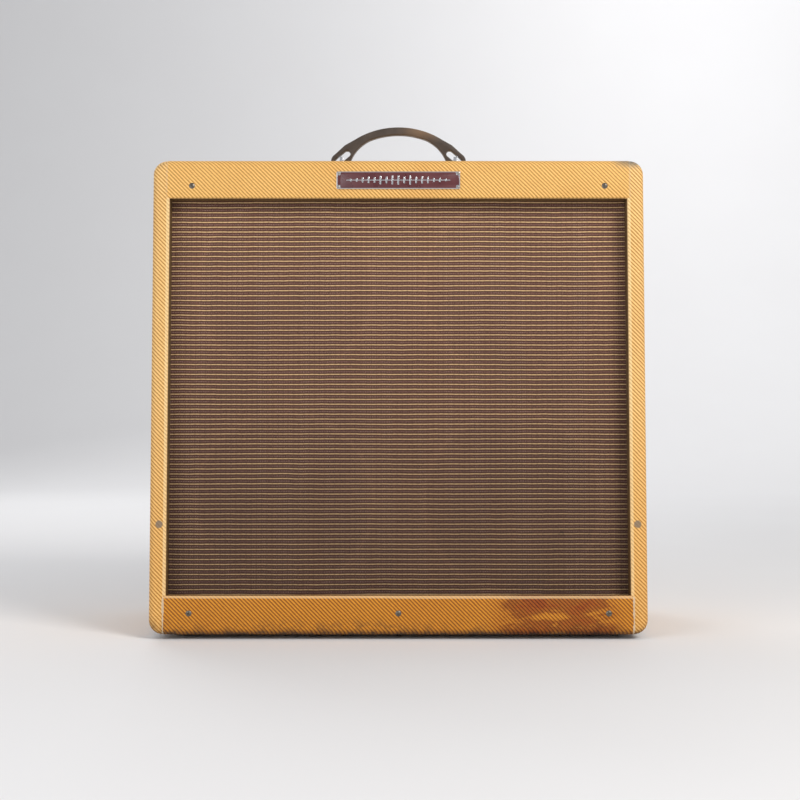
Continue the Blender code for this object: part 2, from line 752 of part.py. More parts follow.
def knob_outline():
    """A pointer knob seen from above: a round body drawn out to a blunt nose along -Y."""
    tail = arc((0, 0), KNOB_BODY_RADIUS, -35, 215, 8)
    nose = 0.0017
    return tail + [(-nose, -KNOB_REACH + 0.001), (0, -KNOB_REACH), (nose, -KNOB_REACH + 0.001)]


def make_knobs():
    z_middle = Z_PLATE + KNOB_ABOVE_PLATE + KNOB_HEIGHT / 2
    for (name, x), degrees in zip(knob_spots(), KNOB_TURNS):
        at, turn = (x, Y_CONTROLS, z_middle), (0, 0, math.radians(degrees))
        knob = flat_outline(f"{name}_knob", [knob_outline()], KNOB_HEIGHT, "cream", at, turn)
        depth = POT_HEIGHT + 0.002
        shaft = cylinders(
            f"{name}_shaft",
            [((0, 0, -KNOB_HEIGHT / 2 - depth), (0, 0, 0), SHAFT_RADIUS)],
            segments=HOLE_STEPS,
            parent=knob,
        )
        rounded(knob, 0.0012, 1, 50)
        boolean(knob, shaft, "UNION")


def make_jacks():
    z_nut = Z_PLATE + NUT
    body_low = Z_PLATE - JACK_BODY_DEPTH
    plate_low = Z_PLATE - CHASSIS_SHEET - GAP
    for name, x in jack_spots():
        profile = [
            (JACK_BORE, z_nut),
            (JACK_NUT_RADIUS, z_nut),
            (JACK_NUT_RADIUS, Z_PLATE + GAP),
            (BUSH_RADIUS, Z_PLATE + GAP),
            (BUSH_RADIUS, plate_low),
            (JACK_BODY_RADIUS, plate_low),
            (JACK_BODY_RADIUS, body_low),
            (JACK_BORE, body_low),
        ]
        at = (x, Y_CONTROLS, 0)
        turned(name, profile, "steel", at, steps=HOLE_STEPS, closed=True)


def make_toggles():
    """Each switch is a body with a threaded bush, and a lever that rocks on a ball in that bush."""
    bush_top = Z_PLATE + TOGGLE_BUSH_TOP
    pivot = Z_PLATE + TOGGLE_PIVOT
    under = Z_PLATE - CHASSIS_SHEET - GAP
    half_x, half_y = TOGGLE_BODY_HALF
    for name, x in TOGGLES:
        body = box(
            f"{name}_switch_body",
            (x - half_x, Y_CONTROLS - half_y, under - TOGGLE_BODY_DEPTH),
            (x + half_x, Y_CONTROLS + half_y, under),
            "black",
        )
        bush = cylinders(
            f"{name}_switch_bush",
            [((x, Y_CONTROLS, under - 0.004), (x, Y_CONTROLS, bush_top), TOGGLE_BUSH_RADIUS)],
            HOLE_STEPS,
        )
        bore = cylinders(
            f"{name}_switch_bore",
            [((x, Y_CONTROLS, pivot - 0.0035), (x, Y_CONTROLS, bush_top + OVER), TOGGLE_BORE)],
            HOLE_STEPS,
        )
        boolean(body, bush, "UNION")
        boolean(body, bore)
        lever = [
            (0, 0.0155),
            (0.0022, 0.0150),
            (0.0028, 0.0125),
            (0.0015, 0.0022),
            (0.0026, 0),
            (0, -0.0026),
        ]
        tilt = (TOGGLE_THROW / 2, 0, 0)
        turned(f"{name}_switch_lever", lever, "steel", (x, Y_CONTROLS, pivot), tilt, steps=8)


def make_fuse_and_lamp():
    z_neck = Z_PLATE + 0.004
    under = Z_PLATE - CHASSIS_SHEET - GAP
    neck, nut = FUSE_RADIUS, FUSE_RADIUS + 0.0028
    holder = [
        (0, under - FUSE_DEPTH + 0.002),
        (FUSE_BORE, under - FUSE_DEPTH + 0.002),
        (FUSE_BORE, z_neck),
        (neck, z_neck),
        (neck, Z_PLATE + NUT),
        (nut, Z_PLATE + NUT),
        (nut, Z_PLATE + GAP),
        (neck, Z_PLATE + GAP),
        (neck, under - FUSE_DEPTH),
        (0, under - FUSE_DEPTH),
    ]
    turned("fuse_holder", holder, "black", (FUSE_X, Y_CONTROLS, 0), steps=HOLE_STEPS)
    cap = [
        (0, z_neck + FUSE_CAP_HEIGHT),
        (FUSE_CAP_RADIUS - 0.0011, z_neck + FUSE_CAP_HEIGHT),
        (FUSE_CAP_RADIUS, z_neck + FUSE_CAP_HEIGHT - 0.001),
        (FUSE_CAP_RADIUS, z_neck + GAP),
        (FUSE_STEM_RADIUS, z_neck + GAP),
        (FUSE_STEM_RADIUS, z_neck - 0.010),
        (0, z_neck - 0.010),
    ]
    turned("fuse_cap", cap, "black", (FUSE_X, Y_CONTROLS, 0), steps=HOLE_STEPS)
    lamp = [
        (0, Z_PLATE + 0.0115),
        (0.0045, Z_PLATE + 0.0100),
        (LAMP_RADIUS, Z_PLATE + 0.0065),
        (LAMP_RADIUS + 0.0004, Z_PLATE + 0.0040),
        (LAMP_BEZEL_RADIUS, Z_PLATE + 0.0030),
        (LAMP_BEZEL_RADIUS, Z_PLATE + GAP),
        (LAMP_RADIUS, Z_PLATE + GAP),
        (LAMP_RADIUS, under - LAMP_DEPTH),
        (0, under - LAMP_DEPTH),
    ]
    turned("pilot_lamp", lamp, "jewel", (LAMP_X, Y_CONTROLS, 0), steps=HOLE_STEPS)


def valve_profile(glass, base, socket, neck):
    """A hanging valve in its socket: heights are from the shelf's under face, and go down."""
    (glass, glass_height), (base, base_height) = glass, base
    flange = -0.0035
    return [
        (0, 0.005),
        (neck, 0.005),
        (neck, -GAP),
        (socket, -GAP),
        (socket, flange),
        (base, flange),
        (base, -base_height),
        (glass, -base_height - 0.004),
        (glass, -base_height - glass_height + 0.014),
        (glass * 0.7, -base_height - glass_height + 0.003),
        (0, -base_height - glass_height),
    ]


def make_valves():
    for name, x in OCTAL_VALVES:
        profile = valve_profile(OCTAL_GLASS[name], OCTAL_BASE, OCTAL_SOCKET, OCTAL_NECK)
        turned(name, profile, "glass", (x, VALVE_Y, Z_SHELF), steps=HOLE_STEPS)
    for label, x in zip("abc", SMALL_VALVE_X):
        profile = valve_profile(SMALL_GLASS, SMALL_BASE, SMALL_SOCKET, SMALL_NECK)
        turned(f"preamp_valve_{label}", profile, "steel", (x, VALVE_Y, Z_SHELF), steps=HOLE_STEPS)


def make_transformers():
    low = Z_SHELF - GAP

    def around_core(name, half_x, ahead, behind, z_low, z_high, finish=None):
        near = (CORE_X - half_x, VALVE_Y - ahead, z_low)
        return box(name, near, (CORE_X + half_x, VALVE_Y + behind, z_high), finish)

    power = around_core(
        "power_transformer", CORE_HALF_WIDTH, CORE_FRONT, CORE_REAR, low - CORE_HEIGHT, low, "black"
    )
    bell_low = low - CORE_HEIGHT - CORE_BELL
    bell = around_core("power_bell", 0.030, 0.024, 0.023, bell_low, bell_low + CORE_HEIGHT)
    coil = around_core("power_coil", 0.025, 0.019, 0.019, low - OVER, low + 0.022)
    rounded(bell, 0.007, 1)
    rounded(coil, 0.004, 1)
    boolean(power, bell, "UNION")
    boolean(power, coil, "UNION")
    y_face = Y_CHASSIS - GAP
    z_mid = Z_SHELF + CHASSIS_HEIGHT / 2 - 0.004
    for name, x, half, height, stack in CHASSIS_IRON:
        z_low, z_high = z_mid - height / 2, z_mid + height / 2
        y_iron = y_face - stack
        iron = box(name, (x - half, y_iron, z_low), (x + half, y_face, z_high), "black")
        cover = box(
            f"{name}_bell",
            (x - half + IRON_INSET, y_iron - IRON_BELL, z_low + 0.004),
            (x + half - IRON_INSET, y_iron + 0.003, z_high - 0.004),
            None,
        )
        foot = box(
            f"{name}_foot",
            (x - half - IRON_FOOT, y_face - 0.0015, z_mid - 0.008),
            (x + half + IRON_FOOT, y_face, z_mid + 0.008),
            None,
        )
        rounded(cover, 0.004, 1)
        boolean(iron, cover, "UNION")
        boolean(iron, foot, "UNION")


def make_circuit_board():
    """An eyelet board standing on the chassis' front wall, with its smoothing capacitors."""
    y_low = Y_CHASSIS + CHASSIS_SHEET + BOARD_STAND_OFF
    z_low = Z_SHELF + CHASSIS_SHEET + BOARD_STAND_OFF
    z_high = Z_PLATE - CHASSIS_SHEET - POT_HEIGHT - 0.006
    x_low, x_high = BOARD_ENDS
    board = box("circuit_board", (x_low, y_low, z_low), (x_high, y_low + BOARD, z_high), "board")
    z_mid, half = (z_low + z_high) / 2, CAPACITOR_LENGTH / 2
    y_tube = y_low + BOARD + CAPACITOR_RADIUS - 0.0007
    tubes = []
    for i in range(CAPACITOR_COUNT):
        x = x_low + 0.015 + i * CAPACITOR_PITCH
        tubes.append(((x, y_tube, z_mid - half), (x, y_tube, z_mid + half), CAPACITOR_RADIUS))
    boolean(board, cylinders("capacitors", tubes, 8), "UNION")


def make_wiring():
    """Cord grommet in the shelf, and the lead that hangs from its plug to the first loudspeaker."""
    z_low = Z_SHELF
    z_lip, z_rim = z_low - 0.0030, z_low + 0.0040
    grommet = [
        (CORD_BORE, z_rim),
        (RUBBER_RADIUS, z_rim),
        (RUBBER_RADIUS, z_low + CHASSIS_SHEET + GAP),
        (GROMMET_RADIUS, z_low + CHASSIS_SHEET + GAP),
        (GROMMET_RADIUS, z_low - GAP),
        (RUBBER_RADIUS, z_low - GAP),
        (RUBBER_RADIUS - 0.001, z_lip),
        (CORD_BORE, z_lip),
    ]
    turned("cord_grommet", grommet, "black", (GROMMET_X, GROMMET_Y, 0), steps=HOLE_STEPS, closed=True)
    plug = [
        (0, z_rim),
        (BUSH_RADIUS, z_rim),
        (BUSH_RADIUS, z_low - GAP),
        (RUBBER_RADIUS - 0.001, z_low - GAP),
        (RUBBER_RADIUS - 0.001, z_lip),
        (PLUG_RADIUS, z_lip),
        (PLUG_RADIUS, z_low - PLUG_LENGTH + 0.010),
        (CORD_BORE, z_low - PLUG_LENGTH),
        (0, z_low - PLUG_LENGTH),
    ]
    plug = turned("speaker_plug", plug, None, (LEAD_SOCKET_X, VALVE_Y, 0), steps=HOLE_STEPS)
    route = [  # from the socket: first straight down, then forward in a loop to the loudspeaker's tags
        (0, 0, -0.028),
        (0, -0.001, -0.055),
        (0.002, -0.010, -0.090),
        (0.008, -0.032, -0.124),
        (0.012, -0.060, -0.138),
        (0.010, -0.090, -0.128),
        (0.002, -0.112, -0.105),
        (-0.008, -0.124, -0.084),
    ]
    socket = Vector((LEAD_SOCKET_X, VALVE_Y, z_low))
    points = smooth_route([socket + Vector(offset) for offset in route], 3)
    boolean(tube_along("speaker_lead", points, LEAD_RADIUS, "brown"), plug, "UNION")


def smooth_route(points, steps):
    """Points along a Catmull-Rom curve through the route's own points."""
    spots = [Vector(p) for p in points]
    spots = [2 * spots[0] - spots[1], *spots, 2 * spots[-1] - spots[-2]]
    made = []
    for a, b, c, d in zip(spots, spots[1:], spots[2:], spots[3:]):
        for i in range(steps):
            t = i / steps
            square, cube = 2 * a - 5 * b + 4 * c - d, 3 * b - a - 3 * c + d
            made.append(0.5 * (2 * b + (c - a) * t + square * t**2 + cube * t**3))
    return made + [spots[-2]]


def tube_along(name, points, radius, finish):
    curve = bpy.data.curves.new(name, "CURVE")
    curve.dimensions = "3D"
    curve.bevel_depth = radius
    curve.bevel_resolution = 2
    curve.use_fill_caps = True
    spline = curve.splines.new("POLY")
    spline.points.add(len(points) - 1)
    for point, co in zip(spline.points, points):
        point.co = (*co, 1)
    return made_mesh(place_curve(name, curve), finish)


# Handle and glides ---------------------------------------------------------------------------------------
def handle_y():
    return front_y(Z_TOP) + HANDLE_FROM_FRONT


def crest_point(t):
    """The strap's centreline from its middle, t = 0, to where the end widens, t = 1."""
    return t * HANDLE_REACH, HANDLE_CREST - HANDLE_DROP * (0.9 * t**2 + 0.1 * t**4)


def handle_outline():
    """Side of the strap: an arch whose two ends widen round their slots."""
    steps = 6
    over, under = [], []
    for i in range(steps + 1):
        t = i / steps
        x, z = crest_point(t)
        ahead, behind = crest_point(t + 0.01), crest_point(t - 0.01)
        slope = Vector((ahead[0] - behind[0], ahead[1] - behind[1])).normalized()
        over.append((x - slope.y * STRAP / 2, z + slope.x * STRAP / 2))
        under.append((x + slope.y * STRAP / 2, z - slope.x * STRAP / 2))
    shoulder = [(SLOT_X + 0.0080, SLOT_Z + 0.0062)]
    eye = arc((EYE_X, EYE_Z), EYE_RADIUS, 52, -95, 6)
    falls = ((0.0015, 0.0175), (-0.0040, 0.0095), (-0.0070, 0.0015))
    inner_edge = [(SLOT_X + side, SLOT_Z - fall) for side, fall in falls]
    half = over + shoulder + eye + inner_edge + under[::-1]
    mirrored = [(-x, z) for x, z in half[::-1]]
    return half + mirrored[1:-1]


def slot_outline(side):
    """A round-ended slot along the end of the strap."""
    outer, inner = Vector((side * EYE_X, EYE_Z)), Vector((side * SLOT_X, SLOT_Z))
    heading = math.degrees(math.atan2((outer - inner).y, (outer - inner).x))
    near_end = arc(inner, SLOT_HALF, heading + 90, heading + 270, 5)
    return arc(outer, SLOT_HALF, heading - 90, heading + 90, 5) + near_end


def make_handle():
    y = handle_y()
    loops = [handle_outline(), slot_outline(-1), slot_outline(1)]
    strap = flat_outline("handle_strap", loops, HANDLE_WIDTH, "brown", (0, y, Z_TOP), FACING_FRONT)
    rounded(strap, 0.0015, 1, 60)
    along = Vector((SLOT_X - EYE_X, SLOT_Z - EYE_Z)).normalized()
    bar_x, bar_z = EYE_X + along.x * BAR_FROM_EYE, EYE_Z + along.y * BAR_FROM_EYE
    span, top, foot = BRACKET_HALF_SPAN, bar_z + BAR / 2, BRACKET_FOOT
    hat = [
        (-span - foot, GAP),
        (-span + BAR, GAP),
        (-span + BAR, top - BAR),
        (span - BAR, top - BAR),
        (span - BAR, GAP),
        (span + foot, GAP),
        (span + foot, GAP + BAR),
        (span, GAP + BAR),
        (span, top),
        (-span, top),
        (-span, GAP + BAR),
        (-span - foot, GAP + BAR),
    ]
    for name, side in (("handle_bracket_left", -1), ("handle_bracket_right", 1)):
        flat_outline(name, [hat], BAR_WIDTH, "steel", (side * bar_x, y, Z_TOP), ALONG_X)


def glide_spots():
    x = CABINET_WIDTH / 2 - GLIDE_INSET
    rows = (Y_FRONT + GLIDE_INSET, Y_BACK - GLIDE_INSET)
    return [Vector((side * x, y, Z_BASE)) for y in rows for side in (-1, 1)]


def make_glides():
    names = ("glide_front_left", "glide_front_right", "glide_rear_left", "glide_rear_right")
    profile = [
        (0, NAIL_LENGTH),
        (NAIL_RADIUS, NAIL_LENGTH - 0.002),
        (NAIL_RADIUS, -GAP),
        (GLIDE_RADIUS, -GAP),
        (GLIDE_RADIUS, -0.0022),
        (GLIDE_RADIUS - 0.003, -GLIDE_HEIGHT),
        (0, -GLIDE_HEIGHT),
    ]
    for name, spot in zip(names, glide_spots()):
        turned(name, profile, "steel", spot, steps=HOLE_STEPS)


for leftover in list(bpy.data.objects):
    bpy.data.objects.remove(leftover, do_unlink=True)
PARTS = group("guitar_amplifier")
CUTTERS = group("cutters")

make_cabinet()
make_rear_panels()
slope_frame = front_frame()
make_baffle(slope_frame)
make_speakers(slope_frame)
make_chassis()
make_potentiometers()
make_knobs()
make_jacks()
make_toggles()
make_fuse_and_lamp()
make_valves()
make_transformers()
make_circuit_board()
make_wiring()
make_handle()
make_glides()
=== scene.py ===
# %% [markdown]
# # A tweed-covered valve amplifier, dressed over its working model
# The working model gives every piece its true place and size. This lesson adds what the eye meets:
# woven cloth, plated metal, moulded knobs, paper cones and glass. Lengths are in metres, +Z is up,
# and the grille faces -Y.

import json
import math

import bmesh
import bpy
from mathutils import Matrix, Vector


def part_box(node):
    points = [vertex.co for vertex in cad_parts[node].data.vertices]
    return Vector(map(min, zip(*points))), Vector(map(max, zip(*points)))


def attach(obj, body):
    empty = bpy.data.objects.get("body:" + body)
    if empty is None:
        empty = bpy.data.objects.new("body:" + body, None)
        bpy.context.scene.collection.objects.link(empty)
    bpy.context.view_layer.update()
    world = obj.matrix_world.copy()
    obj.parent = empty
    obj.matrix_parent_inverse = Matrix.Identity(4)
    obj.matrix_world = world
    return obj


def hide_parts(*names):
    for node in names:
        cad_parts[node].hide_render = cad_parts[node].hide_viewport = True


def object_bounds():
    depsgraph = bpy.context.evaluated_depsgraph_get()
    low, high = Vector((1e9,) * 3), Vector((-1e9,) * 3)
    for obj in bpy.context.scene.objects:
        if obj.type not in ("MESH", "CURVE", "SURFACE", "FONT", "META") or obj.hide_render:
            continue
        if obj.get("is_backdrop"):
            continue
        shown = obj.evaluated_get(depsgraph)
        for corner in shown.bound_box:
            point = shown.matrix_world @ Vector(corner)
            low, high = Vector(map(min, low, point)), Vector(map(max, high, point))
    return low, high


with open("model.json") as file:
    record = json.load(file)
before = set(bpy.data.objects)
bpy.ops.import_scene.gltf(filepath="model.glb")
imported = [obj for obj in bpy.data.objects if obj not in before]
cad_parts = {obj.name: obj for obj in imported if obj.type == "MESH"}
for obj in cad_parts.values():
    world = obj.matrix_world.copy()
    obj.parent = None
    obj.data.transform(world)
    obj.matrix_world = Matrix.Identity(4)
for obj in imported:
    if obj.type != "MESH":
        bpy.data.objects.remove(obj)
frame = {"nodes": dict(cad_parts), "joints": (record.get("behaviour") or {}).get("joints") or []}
cad_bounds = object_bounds()
MM = 0.001

# %% [markdown]
# ## Sizes that everything else hangs on
# The skin node is the outside of the cabinet, and the front rails say where the grille opening is. The
# loudspeakers slide along the slope of the front, so their joint gives its lean.

# %% Read the cabinet's sizes from the model
skin_low, skin_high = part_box("cloth_covering")
HALF_WIDTH = skin_high.x
BASE, TOP = skin_low.z, skin_high.z
BACK = skin_high.y
FRONT_AT_BASE = -BACK
stroke = next(j for j in frame["joints"] if j["name"].startswith("cone_"))
LEAN = math.atan2(stroke["axis"][2], -stroke["axis"][1])
OPENING_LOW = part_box("front_bottom_rail")[1].z
OPENING_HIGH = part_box("front_top_rail")[0].z
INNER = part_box("cabinet_right")[0].x
CORNER = 17 * MM
EDGE = 8.5 * MM
CLOTH = 0.7 * MM


def front_y(z):
    """Where the leaning front is at this height."""
    return FRONT_AT_BASE + (z - BASE) * math.tan(LEAN)


def on_front(x, z, depth=0.0):
    """A point behind the leaning front by depth, measured square to it."""
    return Vector((x, front_y(z) + depth * math.cos(LEAN), z - depth * math.sin(LEAN)))


print("lean:", round(math.degrees(LEAN), 2), "degrees")
print("opening:", round(OPENING_HIGH - OPENING_LOW, 4), "high")

# %% [markdown]
# ## The camera
# The object is seen square on from a little under its middle, so the top of the cabinet hides its own
# upper face. A long lens keeps the sides from spreading.

# %% Set up the camera
bpy.ops.object.camera_add(location=(0.002, -1.8, 0.286), rotation=(math.pi / 2, 0, 0))
camera = bpy.context.object
camera.data.lens = 63
camera.data.sensor_width = 36
bpy.context.scene.camera = camera

# %% [markdown]
# ## Hand tools
# Modelling by hand is the same few moves over and over: drop the selection, add a primitive, pick faces
# by where they are, pull them out, and settle the piece so that its place is in its mesh.

# %% Selecting, settling and finishing
def drop_selection():
    """Leave edit mode and let go of everything."""
    if bpy.context.object and bpy.context.object.mode != "OBJECT":
        bpy.ops.object.mode_set(mode="OBJECT")
    bpy.ops.object.select_all(action="DESELECT")


def hold(piece):
    """Make this piece the only selected and active one."""
    drop_selection()
    piece.select_set(True)
    bpy.context.view_layer.objects.active = piece
    return piece


def settle(piece, name=None):
    """Put the piece's place, turn and scale into its mesh."""
    hold(piece)
    bpy.ops.object.transform_apply(location=True, rotation=True, scale=True)
    if name:
        piece.name = piece.data.name = name
    return piece


def pick(piece, test, kind="faces"):
    """In edit mode, select exactly the faces, edges or verts that pass the test."""
    mesh = bmesh.from_edit_mesh(piece.data)
    for some in (mesh.verts, mesh.edges, mesh.faces):
        for item in some:
            item.select = False
    found = [item for item in getattr(mesh, kind) if test(item)]
    for item in found:
        item.select_set(True)
    bmesh.update_edit_mesh(piece.data)
    return len(found)


def select_mode(kind):
    bpy.ops.mesh.select_mode(type={"verts": "VERT", "edges": "EDGE", "faces": "FACE"}[kind])


def edit(piece):
    hold(piece)
    bpy.ops.object.mode_set(mode="EDIT")
    select_mode("verts")


def middle(item):
    """The middle of an edge or the centre of a face."""
    if isinstance(item, bmesh.types.BMEdge):
        return (item.verts[0].co + item.verts[1].co) / 2
    return item.calc_center_median()


def modify(piece, kind, **settings):
    """Add a modifier, set it and apply it."""
    hold(piece)
    modifier = piece.modifiers.new(kind.lower(), kind)
    for key, value in settings.items():
        setattr(modifier, key, value)
    bpy.ops.object.modifier_apply(modifier=modifier.name)
    return piece


def round_edges(piece, width, segments=3, angle=35):
    return modify(
        piece, "BEVEL", width=width, segments=segments, limit_method="ANGLE", angle_limit=math.radians(angle)
    )


def smooth(piece, angle=35):
    hold(piece)
    bpy.ops.object.shade_smooth_by_angle(angle=math.radians(angle))
    return piece


def face_out(piece):
    """Merge doubles and turn every face outwards."""
    edit(piece)
    bpy.ops.mesh.select_all(action="SELECT")
    bpy.ops.mesh.remove_doubles(threshold=0.000002)
    bpy.ops.mesh.normals_make_consistent(inside=False)
    bpy.ops.object.mode_set(mode="OBJECT")
    return piece


def box(name, low, high):
    """A cube at its size and place."""
    drop_selection()
    low, high = Vector(low), Vector(high)
    bpy.ops.mesh.primitive_cube_add(size=1, location=(low + high) / 2, scale=high - low)
    return settle(bpy.context.object, name)


def rod(name, base, top, radius, sides=24):
    """A cylinder from base to top."""
    drop_selection()
    base, top = Vector(base), Vector(top)
    turn = (top - base).to_track_quat("Z", "Y").to_euler()
    bpy.ops.mesh.primitive_cylinder_add(
        vertices=sides, radius=radius, depth=(top - base).length, location=(base + top) / 2, rotation=turn
    )
    return settle(bpy.context.object, name)


def copy(piece, name, move=(0, 0, 0), turn=None, about=(0, 0, 0)):
    """A copy with its own mesh, turned by a matrix about a point and then moved."""
    hold(piece)
    bpy.ops.object.duplicate(linked=False)
    made = bpy.context.object
    pivot = Matrix.Translation(Vector(about))
    made.matrix_world = Matrix.Translation(Vector(move)) @ pivot @ (turn or Matrix()) @ pivot.inverted()
    return settle(made, name)


def join(name, pieces):
    """Several pieces made one."""
    hold(pieces[0])
    for piece in pieces[1:]:
        piece.select_set(True)
    bpy.ops.object.join()
    pieces[0].name = pieces[0].data.name = name
    return pieces[0]


def cut(piece, *tools, keep=False):
    """Cut these closed tools out of the piece."""
    for tool in tools:
        modify(piece, "BOOLEAN", operation="DIFFERENCE", object=tool, solver="EXACT")
        if not keep:
            bpy.data.objects.remove(tool)
    return piece


def mm(*points):
    """Points given in millimetres."""
    return [(across * MM, up * MM) for across, up in points]


def stand(piece, spot):
    """Move a finished piece from the origin to its spot."""
    piece.matrix_world = Matrix.Translation(spot)
    return settle(piece)


def turn_profile(name, profile, steps=48, closed=False):
    """Draw half an outline of (radius, height) points, corner by corner, and spin it round Z."""
    drop_selection()
    bpy.ops.mesh.primitive_plane_add(size=0.001, location=(profile[0][0], 0, profile[0][1]))
    piece = settle(bpy.context.object, name)
    edit(piece)
    bpy.ops.mesh.select_all(action="SELECT")
    bpy.ops.mesh.merge(type="CENTER")
    for (r0, h0), (r1, h1) in zip(profile, profile[1:] + (profile[:1] if closed else [])):
        bpy.ops.mesh.extrude_region_move(TRANSFORM_OT_translate={"value": (r1 - r0, 0, h1 - h0)})
    bpy.ops.mesh.select_all(action="SELECT")
    bpy.ops.mesh.remove_doubles(threshold=0.000002)
    bpy.ops.mesh.spin(steps=steps, angle=math.tau, center=(0, 0, 0), axis=(0, 0, 1))
    face_out(piece)
    return smooth(piece)


def dress(piece, material, body="cabinet", stands_for=()):
    """Give the piece its finish, its body and the nodes that it stands for."""
    piece.data.materials.clear()
    piece.data.materials.append(material)
    if stands_for:
        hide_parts(*([stands_for] if isinstance(stands_for, str) else stands_for))
    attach(piece, body)
    return piece


# %% [markdown]
# ## Mixing finishes
# A finish is a Principled shader whose colour, roughness and bump come from a few patterns. This small
# class keeps the node work short: each call adds a node, feeds it and hands back its output.

# %% A material under way
class Finish:
    def __init__(self, name, colour=(0.5, 0.5, 0.5), roughness=0.5, metallic=0.0, **sockets):
        self.material = bpy.data.materials.new(name)
        self.material.use_nodes = True
        self.tree = self.material.node_tree
        self.shader = self.tree.nodes["Principled BSDF"]
        self.shader.inputs["Base Color"].default_value = (*colour, 1)
        self.shader.inputs["Roughness"].default_value = roughness
        self.shader.inputs["Metallic"].default_value = metallic
        for key, value in sockets.items():
            self.shader.inputs[key.replace("_", " ")].default_value = value
        self.place = self.tree.nodes.new("ShaderNodeTexCoord").outputs

    def feed(self, socket, value):
        if isinstance(value, bpy.types.NodeSocket):
            self.tree.links.new(value, socket)
        elif value is not None:
            if socket.type == "RGBA" and len(value) == 3:
                value = (*value, 1)
            socket.default_value = value

    def add(self, kind, *values, **settings):
        node = self.tree.nodes.new("ShaderNode" + kind)
        for key, value in settings.items():
            setattr(node, key, value)
        for socket, value in zip(node.inputs, values):
            self.feed(socket, value)
        return node

    def sum(self, operation, a, b=None, c=None):
        return self.add("Math", a, b, c, operation=operation).outputs[0]

    def times(self, a, b):
        return self.sum("MULTIPLY", a, b)

    def plus(self, a, b):
        return self.sum("ADD", a, b)

    def minus(self, a, b):
        return self.sum("SUBTRACT", a, b)

    def wave(self, value, pitch):
        """A sine that repeats over a pitch in metres."""
        return self.sum("SINE", self.times(value, math.tau / pitch))

    def reach(self, a, b):
        """The distance whose two legs are a and b."""
        return self.sum("SQRT", self.plus(self.times(a, a), self.times(b, b)))

    def spread(self, where, scale=(1, 1, 1), turn=(0, 0, 0), move=(0, 0, 0)):
        return self.add("Mapping", where, move, turn, scale).outputs[0]

    def noise(self, where, scale, detail=3.0, rough=0.5):
        node = self.add("TexNoise", where)
        node.inputs["Scale"].default_value = scale
        node.inputs["Detail"].default_value = detail
        node.inputs["Roughness"].default_value = rough
        return node.outputs[0]

    def ramp(self, value, *stops):
        """Stops are (position, colour or grey)."""
        node = self.add("ValToRGB", value)
        line = node.color_ramp
        while len(line.elements) < len(stops):
            line.elements.new(0.5)
        for element, (position, colour) in zip(line.elements, stops):
            element.position = position
            element.color = (*colour, 1) if hasattr(colour, "__len__") else (colour, colour, colour, 1)
        return node.outputs[0]

    def mix(self, share, a, b, blend="MIX"):
        node = self.add("Mix", data_type="RGBA", blend_type=blend)
        self.feed(node.inputs[0], share)
        self.feed(node.inputs[6], a)
        self.feed(node.inputs[7], b)
        return node.outputs[2]

    def between(self, value, low, high, out_low=0.0, out_high=1.0):
        """Map a value smoothly from one range to another."""
        node = self.add("MapRange", value, low, high, out_low, out_high, interpolation_type="SMOOTHSTEP")
        return node.outputs[0]

    def parts(self, vector):
        return self.add("SeparateXYZ", vector).outputs

    def colour(self, value):
        self.feed(self.shader.inputs["Base Color"], value)
        return self

    def rough(self, value):
        self.feed(self.shader.inputs["Roughness"], value)
        return self

    def bump(self, height, distance, strength=1.0):
        node = self.add("Bump", strength, distance)
        self.feed(node.inputs["Height"], height)
        previous = self.shader.inputs["Normal"].links
        if previous:
            self.tree.links.new(previous[0].from_socket, node.inputs["Normal"])
        self.tree.links.new(node.outputs[0], self.shader.inputs["Normal"])
        return self


# %% [markdown]
# ## Tweed
# Amplifier tweed is a cotton twill: pale yarn floats in diagonal ribs, with a darker line between them,
# under amber lacquer. The ribs are drawn in the cloth's own flat coordinates, which the UV map holds in
# metres, so they run round the corners as real cloth does. Wear, dirt, stains, painted shade and painted
# highlights belong to places on the cabinet, so those read Object coordinates.

# %% Tweed finish
RIB = 3.4 * MM
SEAM = 281 * MM
SPOT_X, SPOT_Z = 0.2865, 0.1375


